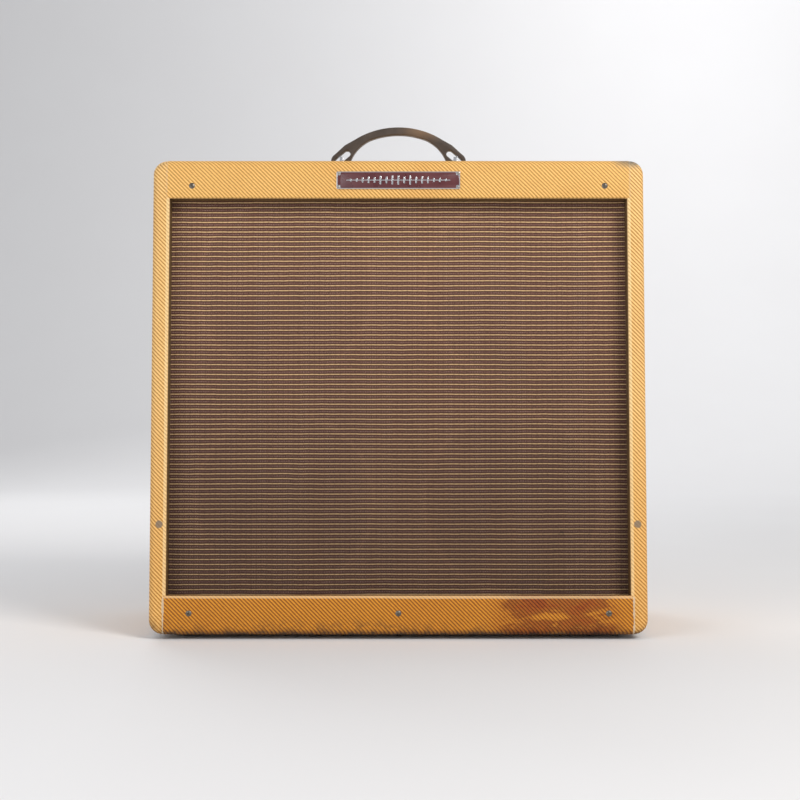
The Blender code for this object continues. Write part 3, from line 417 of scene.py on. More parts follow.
def tweed(name, pale, dark, soiling=0.35, stain=False):
    f = Finish(name, roughness=0.5, Specular_IOR_Level=0.26, Coat_Weight=0.05, Coat_Roughness=0.4)
    u, v, _ = f.parts(f.place["UV"])
    wander = f.times(f.minus(f.noise(f.place["UV"], 60, 2), 0.5), 1.1 * MM)
    along = f.sum("DIVIDE", f.plus(f.plus(u, v), wander), RIB * math.sqrt(2))
    wave = f.sum("SINE", f.times(along, math.tau))
    rib = f.between(wave, -0.75, 0.35)
    floats = f.wave(u, 0.85 * MM)
    picks = f.wave(v, 0.85 * MM)
    weave = f.between(f.times(floats, picks), -0.9, 0.9)
    slub = f.noise(f.spread(f.place["UV"], (260, 1400, 1), (0, 0, math.radians(45))), 1.0, 3)
    yarn = f.mix(f.between(slub, 0.35, 0.68), pale, tuple(c * 0.80 for c in pale))
    yarn = f.mix(f.times(weave, 0.16), yarn, dark)
    cloth = f.mix(rib, f.mix(f.between(slub, 0.3, 0.7), dark, tuple(c * 0.72 for c in dark)), yarn)
    # age: the lacquer is browner in patches, and lower down the cloth is painted darker, a painted shade of
    # the light from above
    x, y, z = f.parts(f.place["Object"])
    forward = f.minus(y, f.sum("MULTIPLY_ADD", z, math.tan(LEAN), front_y(0)))
    blotch = f.noise(f.place["Object"], 9, 4, 0.55)
    cloth = f.mix(f.between(blotch, 0.42, 0.75, 0.0, 0.16), cloth, (0.62, 0.36, 0.13), "MULTIPLY")
    cloth = f.mix(f.between(z, 0.36, 0.04, 0.0, 0.55), cloth, (0.90, 0.72, 0.38), "MULTIPLY")
    low = f.between(f.plus(z, f.times(blotch, 0.03)), BASE + 0.038, BASE + 0.006)
    rim = f.between(f.sum("ABSOLUTE", x), HALF_WIDTH - 0.014, HALF_WIDTH)
    grime_noise = f.between(f.noise(f.place["Object"], 85, 5, 0.7), 0.40, 0.66)
    grime = f.times(f.times(low, grime_noise), soiling * 1.7)
    corner = f.times(low, rim)
    hem = f.between(f.plus(z, f.times(grime_noise, 0.002)), BASE + 0.0085, BASE + 0.001)
    grime = f.plus(grime, f.times(corner, 0.75))
    grime = f.sum("MINIMUM", f.plus(grime, f.times(hem, 0.6)), 0.92)
    cloth = f.mix(grime, cloth, (0.055, 0.035, 0.022))
    # scuffs: the two top corners of the front, and a rubbed spot low on either side strip
    high = f.between(z, TOP - 0.013, TOP - 0.001)
    near = f.between(forward, 0.040, 0.012)
    side = f.between(x, HALF_WIDTH - 0.048, HALF_WIDTH - 0.012)
    other = f.between(x, -HALF_WIDTH + 0.026, -HALF_WIDTH + 0.006, 0.0, 0.5)
    scuff = f.times(f.sum("MAXIMUM", side, other), f.times(high, near))
    scuff = f.times(scuff, f.between(f.noise(f.place["Object"], 110, 4, 0.7), 0.36, 0.55))
    cloth = f.mix(scuff, cloth, (0.19, 0.165, 0.125))
    dx = f.minus(f.sum("ABSOLUTE", x), SPOT_X)
    dz = f.minus(z, SPOT_Z)
    away = f.reach(dx, dz)
    away = f.plus(away, f.times(f.minus(grime_noise, 0.5), 0.8 * MM))
    spot = f.times(f.between(away, 4.9 * MM, 3.6 * MM), f.between(forward, 0.006, 0.002))
    cloth = f.mix(f.times(spot, 0.85), cloth, (0.19, 0.15, 0.115))
    # the strip's folded edge is paler; the dark line beside it, painted below, is painted shade
    inner = f.minus(f.sum("ABSOLUTE", x), INNER)
    beside = f.between(z, OPENING_LOW, OPENING_LOW + 0.002)
    beside = f.times(beside, f.between(z, OPENING_HIGH, OPENING_HIGH - 0.002))
    fold = f.times(f.between(inner, 3.4 * MM, 2.6 * MM), beside)
    fold = f.times(fold, f.between(forward, 0.006, 0.002))
    cloth = f.mix(f.times(fold, 0.35), cloth, (1.0, 0.80, 0.46))
    # inside the opening the cloth is painted near black: painted shade in the reveal, out of the light
    deep = f.between(forward, 1.4 * MM, 4.5 * MM)
    within = f.between(f.sum("ABSOLUTE", x), INNER + 0.0012, INNER + 0.0004)
    within = f.times(within, f.between(z, OPENING_LOW - 0.003, OPENING_LOW - 0.001))
    within = f.times(within, f.between(z, OPENING_HIGH + 0.003, OPENING_HIGH + 0.001))
    within = f.times(within, f.between(y, 0.02, 0.0))
    cloth = f.mix(f.times(f.times(deep, within), 0.86), cloth, (0.045, 0.022, 0.012))
    # the cut edges of the cloth fray where the rails meet the side strips
    gap = f.sum("ABSOLUTE", f.minus(f.sum("ABSOLUTE", x), SEAM))
    fray = f.plus(gap, f.times(f.minus(grime_noise, 0.5), 1.0 * MM))
    fray = f.times(f.between(fray, 1.3 * MM, 0.5 * MM), f.between(forward, 0.006, 0.002))
    rails = f.between(z, OPENING_LOW + 0.001, OPENING_LOW - 0.001)
    rails = f.sum("MAXIMUM", rails, f.between(z, OPENING_HIGH - 0.001, OPENING_HIGH + 0.001, 0.0, 0.25))
    cloth = f.mix(f.times(f.times(fray, rails), 0.75), cloth, (0.66, 0.55, 0.40))
    if stain:
        splash = f.noise(f.spread(f.place["Object"], (22, 22, 55)), 1.0, 5, 0.62)
        span = f.times(f.between(x, 0.100, 0.150), f.between(x, 0.275, 0.240))
        wet = f.times(f.between(splash, 0.30, 0.66), span)
        tide = f.times(f.between(wet, 0.25, 0.5), f.between(wet, 0.85, 0.55))
        cloth = f.mix(f.times(wet, 0.90), cloth, (0.46, 0.205, 0.10), "MULTIPLY")
        cloth = f.mix(f.times(tide, 0.30), cloth, (0.28, 0.10, 0.06), "MULTIPLY")
        # painted highlight: a pale band is painted along the rounded top edge of the bottom rail, where
        # light from above falls
        uneven = f.plus(z, f.times(blotch, 0.003))
        tone_patch = f.between(uneven, OPENING_LOW - 0.0015, OPENING_LOW + 0.0005)
        tone_patch = f.times(tone_patch, f.between(forward, 1.6 * MM, 0.5 * MM))
        cloth = f.mix(f.times(tone_patch, 0.55), cloth, (0.85, 0.60, 0.32))
    f.colour(cloth)
    f.rough(f.between(f.plus(blotch, grime), 0.3, 1.1, 0.46, 0.8))
    f.bump(rib, 0.25 * MM, 0.55).bump(weave, 0.06 * MM, 0.5)
    return f.material


PALE, DARK = (1.0, 0.66, 0.265), (0.56, 0.255, 0.05)
tweed_shell = tweed("tweed_shell", PALE, DARK)
tweed_top = tweed("tweed_top_rail", (0.97, 0.60, 0.20), (0.58, 0.27, 0.055))
tweed_bottom = tweed("tweed_bottom_rail", (0.80, 0.365, 0.038), (0.30, 0.098, 0.008), 0.5, stain=True)

# %% [markdown]
# ## The cabinet's cloth
# One sheet is glued round the top, sides and bottom and turned in at the front, back and controls. It is
# modelled as the cabinet's outer form: a cube with rounded corners, leaned at the front, with its openings
# cut and their rims drawn inwards, and then given the cloth's thickness.

# %% The outer form
def cabinet_form(name):
    piece = box(name, (-HALF_WIDTH, -BACK, BASE), (HALF_WIDTH, BACK, TOP))
    edit(piece)
    select_mode("edges")
    pick(piece, lambda e: abs(e.verts[0].co.y - e.verts[1].co.y) > BACK, "edges")
    bpy.ops.mesh.bevel(offset=CORNER, segments=10, affect="EDGES")
    mesh = bmesh.from_edit_mesh(piece.data)
    for vert in mesh.verts:
        if vert.co.y < 0:
            vert.co.y = front_y(vert.co.z)
    mesh.normal_update()
    pick(piece, lambda e: e.verts[0].co.y * e.verts[1].co.y > 0, "edges")
    bpy.ops.mesh.bevel(offset=EDGE, segments=6, affect="EDGES")
    bpy.ops.object.mode_set(mode="OBJECT")
    return piece


def slice_at(piece, test, planes):
    """Cut the picked faces along these planes, without taking anything away."""
    for point, normal in planes:
        pick(piece, test)
        bpy.ops.mesh.bisect(plane_co=point, plane_no=normal)


shell = cabinet_form("shell_cloth")
edit(shell)
select_mode("faces")
REVEAL_X = INNER - CLOTH
REVEAL_LOW, REVEAL_HIGH = OPENING_LOW + CLOTH, OPENING_HIGH - CLOTH
slice_at(
    shell,
    lambda f: f.normal.y < -0.99,
    [
        ((-REVEAL_X, 0, 0), (1, 0, 0)),
        ((REVEAL_X, 0, 0), (1, 0, 0)),
        ((0, 0, REVEAL_LOW), (0, 0, 1)),
        ((0, 0, REVEAL_HIGH), (0, 0, 1)),
    ],
)
pick(
    shell,
    lambda f: f.normal.y < -0.99 and abs(middle(f).x) < REVEAL_X and REVEAL_LOW < middle(f).z < REVEAL_HIGH,
)
bpy.ops.mesh.delete(type="ONLY_FACE")
select_mode("edges")
pick(shell, lambda e: e.is_boundary, "edges")
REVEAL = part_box("grille_cloth")[0].y - front_y(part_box("grille_cloth")[0].z)
bpy.ops.mesh.extrude_edges_move(
    TRANSFORM_OT_translate={"value": (0, REVEAL * math.cos(LEAN), -REVEAL * math.sin(LEAN))}
)
pick(
    shell,
    lambda e: abs(middle(e).y - front_y(middle(e).z)) < 0.1 * MM
    and abs(middle(e).x) < REVEAL_X + 0.1 * MM
    and REVEAL_LOW - 0.1 * MM < middle(e).z < REVEAL_HIGH + 0.1 * MM
    and len(e.link_faces) == 2
    and e.calc_face_angle(0) > 1,
    "edges",
)
bpy.ops.mesh.bevel(offset=1.6 * MM, segments=3, affect="EDGES")

# %% Thickness, the rear ledge and the opening for the controls
bpy.ops.object.mode_set(mode="OBJECT")
modify(shell, "SOLIDIFY", thickness=CLOTH, offset=-1)
LEDGE = 10.5 * MM
OPENING_X = 256 * MM
control_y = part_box("chassis")[0].y + 6 * MM
rear_hole = box(
    "rear_hole",
    (LEDGE - HALF_WIDTH, BACK - 12 * MM, BASE + LEDGE),
    (HALF_WIDTH - LEDGE, BACK + 0.02, TOP - LEDGE),
)
notch = box("notch", (-OPENING_X, control_y, TOP - 0.030), (OPENING_X, BACK + 0.02, TOP + 0.01))
cut(shell, rear_hole, notch)
print("shell cloth:", len(shell.data.polygons), "faces")

# %% [markdown]
# ## Laying the weave
# The weave follows the sheet. Round the box the sheet's length runs along the corners, so that coordinate
# is the distance walked from the middle of the top. Its width runs from front to back, and round the edges.

# %% Flat coordinates for every corner of every face
def around(x, z):
    """Distance walked from the middle of the top to this place on the rounded outline."""
    flat_x, flat_z = HALF_WIDTH - CORNER, (TOP - BASE) / 2 - CORNER
    z -= (TOP + BASE) / 2
    side, x = (1 if x >= 0 else -1), abs(x)
    bend = CORNER * math.pi / 2
    over_x, over_z = x - flat_x, abs(z) - flat_z
    angle = math.atan2(max(over_x, 0), max(over_z, 0.000001)) if over_x > 0 or over_z > 0 else 0
    if over_z > 0 and over_x <= 0:
        way = x if z > 0 else flat_x + 2 * bend + 2 * flat_z + (flat_x - x)
    elif over_x > 0 and over_z > 0:
        way = flat_x + CORNER * angle if z > 0 else flat_x + 2 * bend + 2 * flat_z - CORNER * angle
    elif over_x > over_z:
        way = flat_x + bend + flat_z - z
    else:
        way = x if z > 0 else flat_x + 2 * bend + 2 * flat_z + (flat_x - x)
    return side * way


def inset_of(x, z):
    """How far this place is inside the cabinet's rounded outline."""
    over_x = abs(x) - (HALF_WIDTH - CORNER)
    over_z = abs(z - (TOP + BASE) / 2) - ((TOP - BASE) / 2 - CORNER)
    outside = math.hypot(max(over_x, 0), max(over_z, 0))
    return CORNER - outside - min(max(over_x, over_z), 0)


def across(x, y, z):
    """Distance across the sheet: 0 on the front edge, less over the front face, more towards the back."""
    depth, rear = y - front_y(z), BACK - y
    inset = max(inset_of(x, z), 0)
    bend = EDGE * math.pi / 4
    if depth < rear:
        if inset < EDGE and depth < EDGE:
            return EDGE * (math.pi / 4 - math.atan2(EDGE - depth, EDGE - inset))
        return depth - EDGE + bend if inset < EDGE else -(inset - EDGE) - bend - max(depth, 0)
    width = BACK - front_y(z)
    if inset < EDGE and rear < EDGE:
        return width + EDGE * (math.atan2(EDGE - rear, EDGE - inset) - math.pi / 4)
    return width - rear + EDGE - bend if inset < EDGE else width + inset - EDGE + bend + rear


def lay_cloth(piece, flat):
    """Give the piece a UV map in metres, from a function of a corner's place."""
    layer = piece.data.uv_layers.get("UVMap") or piece.data.uv_layers.new(name="UVMap")
    for loop in piece.data.loops:
        layer.data[loop.index].uv = flat(*piece.data.vertices[loop.vertex_index].co)


lay_cloth(shell, lambda x, y, z: (-around(x, z), across(x, y, z)))
flat_map = shell.data.uv_layers["UVMap"].data
for face in shell.data.polygons:
    if abs(face.normal.y) > 0.6:
        for loop in face.loop_indices:
            x, y, z = shell.data.vertices[shell.data.loops[loop].vertex_index].co
            flat_map[loop].uv = (x if face.normal.y < 0 else -x, z)
smooth(shell, 40)
dress(shell, tweed_shell, stands_for="cloth_covering")

# %% [markdown]
# ## Cloth on the two front rails
# The rails were covered as separate boards, and their cloth meets the shell's in two pale seams. Each is a
# strip drawn along the rail's profile: in from the opening, down the front and round the outer edge.

# %% Draw a strip along a profile
def strip(name, half, profile, cells=60):
    """A row of cells across, drawn out through the (y, z) points of a profile."""
    drop_selection()
    (y0, z0), (y1, z1) = profile[:2]
    bpy.ops.mesh.primitive_grid_add(x_subdivisions=cells, y_subdivisions=1, size=1)
    piece = settle(bpy.context.object, name)
    for vert in piece.data.vertices:
        first = vert.co.y < 0
        vert.co = (vert.co.x * 2 * half, y0 if first else y1, z0 if first else z1)
    edit(piece)
    select_mode("edges")
    last = Vector((0, y1, z1))
    pick(piece, lambda e: all((v.co - last).yz.length < 1e-6 for v in e.verts), "edges")
    for (ya, za), (yb, zb) in zip(profile[1:], profile[2:]):
        bpy.ops.mesh.extrude_edges_move(TRANSFORM_OT_translate={"value": (0, yb - ya, zb - za)})
    bpy.ops.object.mode_set(mode="OBJECT")
    return piece


def rail_profile(opening_z, outer_z, proud):
    """Profile of a rail's cloth, from inside the opening to just round the outer edge."""
    way = 1 if outer_z > opening_z else -1
    reach = 17.5 * MM
    inner = on_front(0, opening_z - way * proud, reach)
    points = [(inner.y, inner.z)]
    for i in range(5):
        angle = math.pi / 2 * i / 4
        depth = 1.8 * MM * (1 - math.sin(angle)) - proud * math.sin(angle)
        rise = 1.8 * MM * (1 - math.cos(angle)) - proud * math.cos(angle)
        spot = on_front(0, opening_z + way * rise, depth)
        points.append((spot.y, spot.z))
    for i in range(7):
        angle = math.pi / 2 * i / 6
        spot = on_front(0, outer_z - way * (EDGE - (EDGE + proud) * math.sin(angle)), 0)
        points.append((spot.y + EDGE - (EDGE + proud) * math.cos(angle), spot.z))
    points.append((points[-1][0] + 6 * MM, points[-1][1]))
    return points


def cover_rail(name, opening_z, outer_z, material):
    piece = strip(name, SEAM, rail_profile(opening_z, outer_z, 0.35 * MM))
    for vert in piece.data.vertices:
        if abs(vert.co.x) > SEAM - 0.1 * MM:
            vert.co.x += math.copysign(1, vert.co.x) * 0.5 * MM * math.sin(vert.co.z * 900 + vert.co.x)
    face_out(piece)
    edit(piece)
    bpy.ops.mesh.select_all(action="SELECT")
    if piece.data.polygons[0].normal.z * (1 if outer_z > opening_z else -1) > 0:
        bpy.ops.mesh.flip_normals()
    bpy.ops.object.mode_set(mode="OBJECT")
    modify(piece, "SOLIDIFY", thickness=0.5 * MM, offset=-1)
    lay_cloth(piece, lambda x, y, z: (x, z + 0.6 * max(y - front_y(z), 0)))
    smooth(piece, 40)
    return dress(piece, material)


cover_rail("top_rail_cloth", OPENING_HIGH - CLOTH, TOP, tweed_top)
cover_rail("bottom_rail_cloth", OPENING_LOW + CLOTH, BASE, tweed_bottom)
print("rail cloths reach", SEAM, "either side of the middle")

# %% [markdown]
# ## Grille cloth
# The cloth is woven from flat plastic threads. Gold yarns run across it every 6 mm over an oxblood ground
# with a paler rib between them. It is stretched over the loudspeaker board, so it dips very slightly
# over each loudspeaker hole. A faint painted highlight rings each hole's rim, with painted shade over the
# hole.

# %% Grille cloth finish
STRIPE = 6.05 * MM
RING = 0.108
speakers = [j["child"] for j in frame["joints"] if j["name"].startswith("cone_")]
hole_centres = {}
for body in speakers:
    low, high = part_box(body.replace("cone_", "speaker_"))
    hole_centres[body] = ((low.x + high.x) / 2, (low.z + high.z) / 2)


def grille_finish():
    f = Finish("grille_cloth", roughness=0.7, Specular_IOR_Level=0.3)
    along, up, _ = f.parts(f.place["UV"])
    wander = f.times(f.minus(f.noise(f.place["UV"], 7, 2), 0.5), 2.4 * MM)
    ripple = f.noise(f.spread(f.place["UV"], (70, 22, 1)), 1.0, 2)
    wander = f.plus(wander, f.times(f.minus(ripple, 0.5), 0.8 * MM))
    row = f.sum("FRACT", f.sum("DIVIDE", f.plus(up, wander), STRIPE))
    from_gold = f.sum("ABSOLUTE", f.minus(row, 0.5))
    from_rib = f.minus(0.5, from_gold)
    fleck = f.noise(f.spread(f.place["UV"], (500, 1500, 1)), 1.0, 3, 0.7)
    coarse = f.noise(f.spread(f.place["UV"], (160, 520, 1)), 1.0, 3, 0.6)
    dash = f.wave(along, 6.3 * MM)
    dash = f.between(f.plus(dash, f.times(coarse, 1.6)), -0.5, 0.6, 0.62, 1.0)
    ground = f.mix(f.between(fleck, 0.35, 0.68), (0.058, 0.018, 0.012), (0.250, 0.108, 0.072))
    rib = f.times(f.between(from_rib, 0.095, 0.03), f.between(coarse, 0.35, 0.65, 0.35, 1.0))
    cloth = f.mix(f.times(rib, 0.50), ground, (0.40, 0.235, 0.175))
    beads = f.wave(along, 2.9 * MM)
    beads = f.times(f.between(beads, 0.1, 0.8), f.between(from_rib, 0.075, 0.035))
    column = f.noise(f.spread(f.place["UV"], (55, 1.5, 1)), 1.0, 3, 0.6)
    beads = f.times(beads, f.between(column, 0.42, 0.62, 0.25, 1.0))
    cloth = f.mix(f.times(beads, 0.8), cloth, (0.60, 0.42, 0.36))
    olive = f.times(f.between(from_gold, 0.26, 0.16), f.between(from_gold, 0.07, 0.11))
    cloth = f.mix(f.times(olive, 0.62), cloth, (0.045, 0.030, 0.014))
    gold = f.times(f.between(from_gold, 0.120, 0.085), dash)
    cloth = f.mix(gold, cloth, f.mix(fleck, (0.80, 0.44, 0.14), (1.0, 0.72, 0.42)))
    warp = f.wave(along, 1.5 * MM)
    cloth = f.mix(f.between(warp, -0.2, -1.0, 0.0, 0.30), cloth, (0.03, 0.012, 0.008))
    x, _, z = f.parts(f.place["Object"])
    # painted shade: the cloth is painted darker towards the bottom, as the light falls from above; each hole
    # gets a painted highlight at its rim and painted shade inside
    height = f.between(z, OPENING_LOW, OPENING_HIGH, 0.38, 0.80)
    shade = f.plus(height, f.times(f.noise(f.place["Object"], 12, 3), 0.12))
    for hole_x, hole_z in hole_centres.values():
        dx, dz = f.minus(x, hole_x), f.minus(z, hole_z)
        away = f.reach(dx, dz)
        ring = f.times(f.between(away, RING - 0.006, RING), f.between(away, RING + 0.006, RING))
        shade = f.times(shade, f.between(ring, 0.0, 1.0, 1.0, 1.06))
        shade = f.times(shade, f.between(away, RING, RING - 0.010, 1.0, 0.965))
    cloth = f.mix(1.0, cloth, f.add("CombineXYZ", shade, shade, shade).outputs[0], "MULTIPLY")
    marks = f.between(f.noise(f.place["Object"], 38, 4, 0.75), 0.64, 0.72)
    low_right = f.times(f.between(x, 0.04, 0.16), f.between(z, 0.25, 0.1))
    cloth = f.mix(f.times(f.times(marks, low_right), 0.7), cloth, (0.012, 0.008, 0.006))
    f.colour(cloth)
    f.rough(f.between(gold, 0, 1, 0.78, 0.42))
    f.bump(f.plus(f.times(gold, 0.8), rib), 0.35 * MM, 0.6).bump(warp, 0.1 * MM, 0.6)
    return f.material


grille_material = grille_finish()

# %% Stretch the cloth
cloth_low, cloth_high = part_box("grille_cloth")
HOLE_RADIUS = 0.1145
drop_selection()
bpy.ops.mesh.primitive_grid_add(x_subdivisions=150, y_subdivisions=140, size=1)
grille = settle(bpy.context.object, "grille_sheet")
reach_x = cloth_high.x


def hole_dip(x, z):
    """The cloth sinks a little over each hole."""
    dip = 0.0
    for hole_x, hole_z in hole_centres.values():
        share = math.hypot(x - hole_x, z - hole_z) / HOLE_RADIUS
        if share < 1:
            dip += 0.00045 * (1 - share**2) ** 0.5
    return dip


for vert in grille.data.vertices:
    x, z = vert.co.x * 2 * reach_x, cloth_low.z + (vert.co.y + 0.5) * (cloth_high.z - cloth_low.z)
    y = cloth_low.y + (z - cloth_low.z) * math.tan(LEAN)
    vert.co = (x, y + 0.1 * MM + hole_dip(x, z), z)
face_out(grille)
edit(grille)
bpy.ops.mesh.select_all(action="SELECT")
if grille.data.polygons[0].normal.y > 0:
    bpy.ops.mesh.flip_normals()
bpy.ops.object.mode_set(mode="OBJECT")
lay_cloth(grille, lambda x, y, z: (x, z / math.cos(LEAN)))
modify(grille, "SOLIDIFY", thickness=0.35 * MM, offset=-1)
smooth(grille, 50)
dress(grille, grille_material, stands_for="grille_cloth")

# %% [markdown]
# ## Plain finishes
# Metals, moulded plastics, wood and paper. Each carries the faint unevenness its making leaves: brushing
# or pitting on plate, grain along a board, fibres in pulp, dust in corners.

# %% Metals, plastics and rubber
def metal(name, colour, roughness, pits=0.25, tarnish=(0.10, 0.075, 0.05), scale=240):
    f = Finish(name, colour, roughness, 1.0)
    spots = f.noise(f.place["Object"], scale, 5, 0.65)
    cloud = f.noise(f.place["Object"], 28, 3)
    tone_patch = f.times(f.between(spots, 0.52, 0.72), pits)
    f.colour(f.mix(tone_patch, f.mix(cloud, colour, tuple(c * 0.86 for c in colour)), tarnish))
    f.rough(f.between(f.plus(spots, cloud), 0.7, 1.4, roughness * 0.75, roughness * 1.7))
    f.bump(spots, 0.03 * MM, 0.3)
    return f.material


def moulded(name, colour, roughness, speckle=0.06, grain=700, coat=0.0):
    f = Finish(name, colour, roughness, Coat_Weight=coat, Coat_Roughness=0.25)
    fine = f.noise(f.place["Object"], grain, 3, 0.6)
    cloud = f.noise(f.place["Object"], 30, 3)
    dust = f.between(cloud, 0.45, 0.75, 0.0, 0.16)
    darker = tuple(c * (1 - speckle) for c in colour)
    tone = f.mix(fine, darker, tuple(min(1, c * (1 + speckle)) for c in colour))
    f.colour(f.mix(dust, tone, (0.30, 0.26, 0.21)))
    f.rough(f.between(f.plus(fine, cloud), 0.6, 1.4, roughness * 0.8, min(1, roughness * 1.3)))
    f.bump(fine, 0.02 * MM, 0.25)
    return f.material


chrome = metal("chrome", (0.82, 0.82, 0.84), 0.14)
aged = metal("aged_nickel", (0.20, 0.175, 0.145), 0.36, 0.6)
nickel = metal("dull_nickel", (0.44, 0.41, 0.37), 0.30, 0.6)
plated = metal("zinc_plated_steel", (0.58, 0.57, 0.53), 0.34, 0.35)
brass = metal("brass", (0.74, 0.55, 0.24), 0.32, 0.4)
aluminium = metal("shield_aluminium", (0.72, 0.73, 0.75), 0.28)
enamel_grey = metal("magnet_bell_paint", (0.42, 0.44, 0.47), 0.36, 0.3)
phenolic = moulded("phenolic", (0.030, 0.026, 0.024), 0.28, 0.2, 300, 0.3)
brown_base = moulded("brown_phenolic", (0.10, 0.045, 0.022), 0.3, 0.25, 260, 0.3)
rubber = moulded("rubber", (0.028, 0.027, 0.026), 0.72, 0.15, 500)
black_enamel = moulded("transformer_enamel", (0.022, 0.022, 0.024), 0.30, 0.25, 380, 0.35)
chickenhead = moulded("knob_plastic", (0.035, 0.031, 0.029), 0.24, 0.15, 420, 0.4)
white_fill = moulded("white_fill", (0.86, 0.84, 0.78), 0.5)
solder = metal("solder", (0.62, 0.62, 0.62), 0.30)
felt = moulded("gasket_felt", (0.19, 0.16, 0.13), 0.95, 0.35, 900)

# %% Wood, paper, fibre and wire cloth
def timber(name, pale, dark, along, rings=130, roughness=0.6):
    """Grain runs along one axis: 0 for X, 1 for Y, 2 for Z."""
    f = Finish(name, roughness=roughness)
    stretch = [1.0, 1.0, 1.0]
    stretch[along] = 0.06
    where = f.spread(f.place["Object"], stretch)
    warp = f.noise(where, 9, 3)
    lines = f.sum("SINE", f.times(f.plus(f.noise(where, 5, 2), f.times(warp, 0.3)), rings))
    fibres = f.noise(f.spread(f.place["Object"], [s * 900 for s in stretch]), 1.0, 3, 0.6)
    wood = f.mix(f.between(lines, -0.2, 0.95), pale, dark)
    f.colour(f.mix(f.between(fibres, 0.45, 0.75, 0.0, 0.4), wood, tuple(c * 0.55 for c in dark)))
    f.rough(f.between(fibres, 0.3, 0.7, roughness * 0.85, roughness * 1.15))
    f.bump(fibres, 0.12 * MM, 0.4)
    return f.material


PINE, PINE_DARK = (0.66, 0.42, 0.205), (0.46, 0.235, 0.085)
pine_up = timber("pine_up", PINE, PINE_DARK, 2)
pine_across = timber("pine_across", PINE, PINE_DARK, 0)
birch = timber("dark_plywood", (0.20, 0.135, 0.08), (0.13, 0.08, 0.045), 0, 60, 0.75)


def pulp(name, colour):
    """Moulded paper, with fibres and dust."""
    f = Finish(name, colour, 0.92)
    fibre = f.noise(f.spread(f.place["Object"], (900, 900, 500)), 1.0, 4, 0.7)
    cloud = f.noise(f.place["Object"], 40, 3)
    tone = f.mix(f.between(fibre, 0.35, 0.7), tuple(c * 0.6 for c in colour), tuple(c * 1.5 for c in colour))
    f.colour(f.mix(f.between(cloud, 0.4, 0.8, 0.0, 0.3), tone, (0.26, 0.22, 0.17)))
    f.bump(fibre, 0.08 * MM, 0.5)
    return f.material


paper = pulp("cone_paper", (0.050, 0.043, 0.038))
dome_paper = pulp("dust_cap", (0.085, 0.075, 0.066))
spider_cloth = pulp("spider_cloth", (0.42, 0.27, 0.11))
fibre = pulp("fibre_board", (0.12, 0.095, 0.055))


def wire_cloth(name, colour):
    """Braided cotton over a wire, which follows the piece's own UV: u round it and v along it in metres."""
    f = Finish(name, colour, 0.85)
    u, v, _ = f.parts(f.place["UV"])
    one = f.sum("SINE", f.plus(f.times(u, math.tau * 8), f.times(v, math.tau * 900)))
    two = f.sum("SINE", f.minus(f.times(u, math.tau * 8), f.times(v, math.tau * 900)))
    braid = f.between(f.times(one, two), -0.7, 0.7)
    f.colour(f.mix(braid, tuple(c * 0.45 for c in colour), colour))
    f.bump(braid, 0.15 * MM, 0.6)
    return f.material


def glass(name, tint=(0.93, 0.97, 0.96)):
    f = Finish(name, tint, 0.03, IOR=1.45, Transmission_Weight=1.0)
    cloud = f.noise(f.place["Object"], 60, 3)
    f.rough(f.between(cloud, 0.4, 0.9, 0.01, 0.10))
    return f.material


valve_glass = glass("valve_glass")
print("finishes:", len(bpy.data.materials))

# %% [markdown]
# ## Dressing the pieces whose shape is already right
# Boards, the chassis and the like keep their modelled form, and need only a finish. The boards' grain runs
# along each board.

# %% Finish the carried-over nodes
def finish_node(material, *nodes):
    for node in nodes:
        slots = frame["nodes"][node].material_slots
        if not slots:
            frame["nodes"][node].data.materials.append(material)
        for place in slots:
            place.material = material


finish_node(pine_up, "cabinet_left", "cabinet_right")
finish_node(pine_across, "cabinet_top", "cabinet_bottom", "front_top_rail", "front_bottom_rail")
finish_node(birch, "baffle_board")
finish_node(plated, "chassis")
print("boards:", [n for n in frame["nodes"] if n.startswith("cabinet") or n.endswith("rail")])

# %% [markdown]
# ## Screws
# Oval-headed screws in dulled nickel hold the front rails, and plated screws with cup washers hold the back.
# One
# is modelled facing up: a turned head, with a cross cut into it, and then copied to every place.

# %% One screw, in two sizes
def cross_screw(name, radius, crown, cup=0.0):
    head = [(0, crown), (radius * 0.45, crown * 0.86), (radius * 0.8, crown * 0.45), (radius, 0)]
    piece = turn_profile(name, head + [(radius * 0.94, -0.6 * MM), (0, -0.6 * MM)], 24)
    long, wide = radius * 0.52, radius * 0.11
    bars = []
    for turn in (0, math.pi / 2):
        bar = box("cross_bar", (-long, -wide, crown * 0.15), (long, wide, crown * 2))
        bars.append(copy(bar, "cross_cut", turn=Matrix.Rotation(turn + 0.4, 4, "Z")))
        bpy.data.objects.remove(bar)
    cut(piece, *bars)
    if cup:
        washer = turn_profile(
            "cup_washer",
            [
                (radius * 0.96, 0.1 * MM), (radius * 1.12, crown * 0.5), (radius * 1.35, crown * 0.35),
                (cup, -0.6 * MM),
            ],
            28,
        )
        modify(washer, "SOLIDIFY", thickness=0.3 * MM, offset=1)
        piece = join(name, [piece, washer])
    return smooth(piece, 30)


def place_screws(master, name, spots, facing, material, body="cabinet"):
    """A copy of the master at every spot, each turned to face a direction."""
    turn = Vector(facing).to_track_quat("Z", "Y").to_matrix().to_4x4()
    for i, spot in enumerate(spots):
        spin = Matrix.Rotation(i * 1.1, 4, "Z")
        dress(copy(master, f"{name}_{i}", Vector(spot), turn @ spin), material, body)
    bpy.data.objects.remove(master)


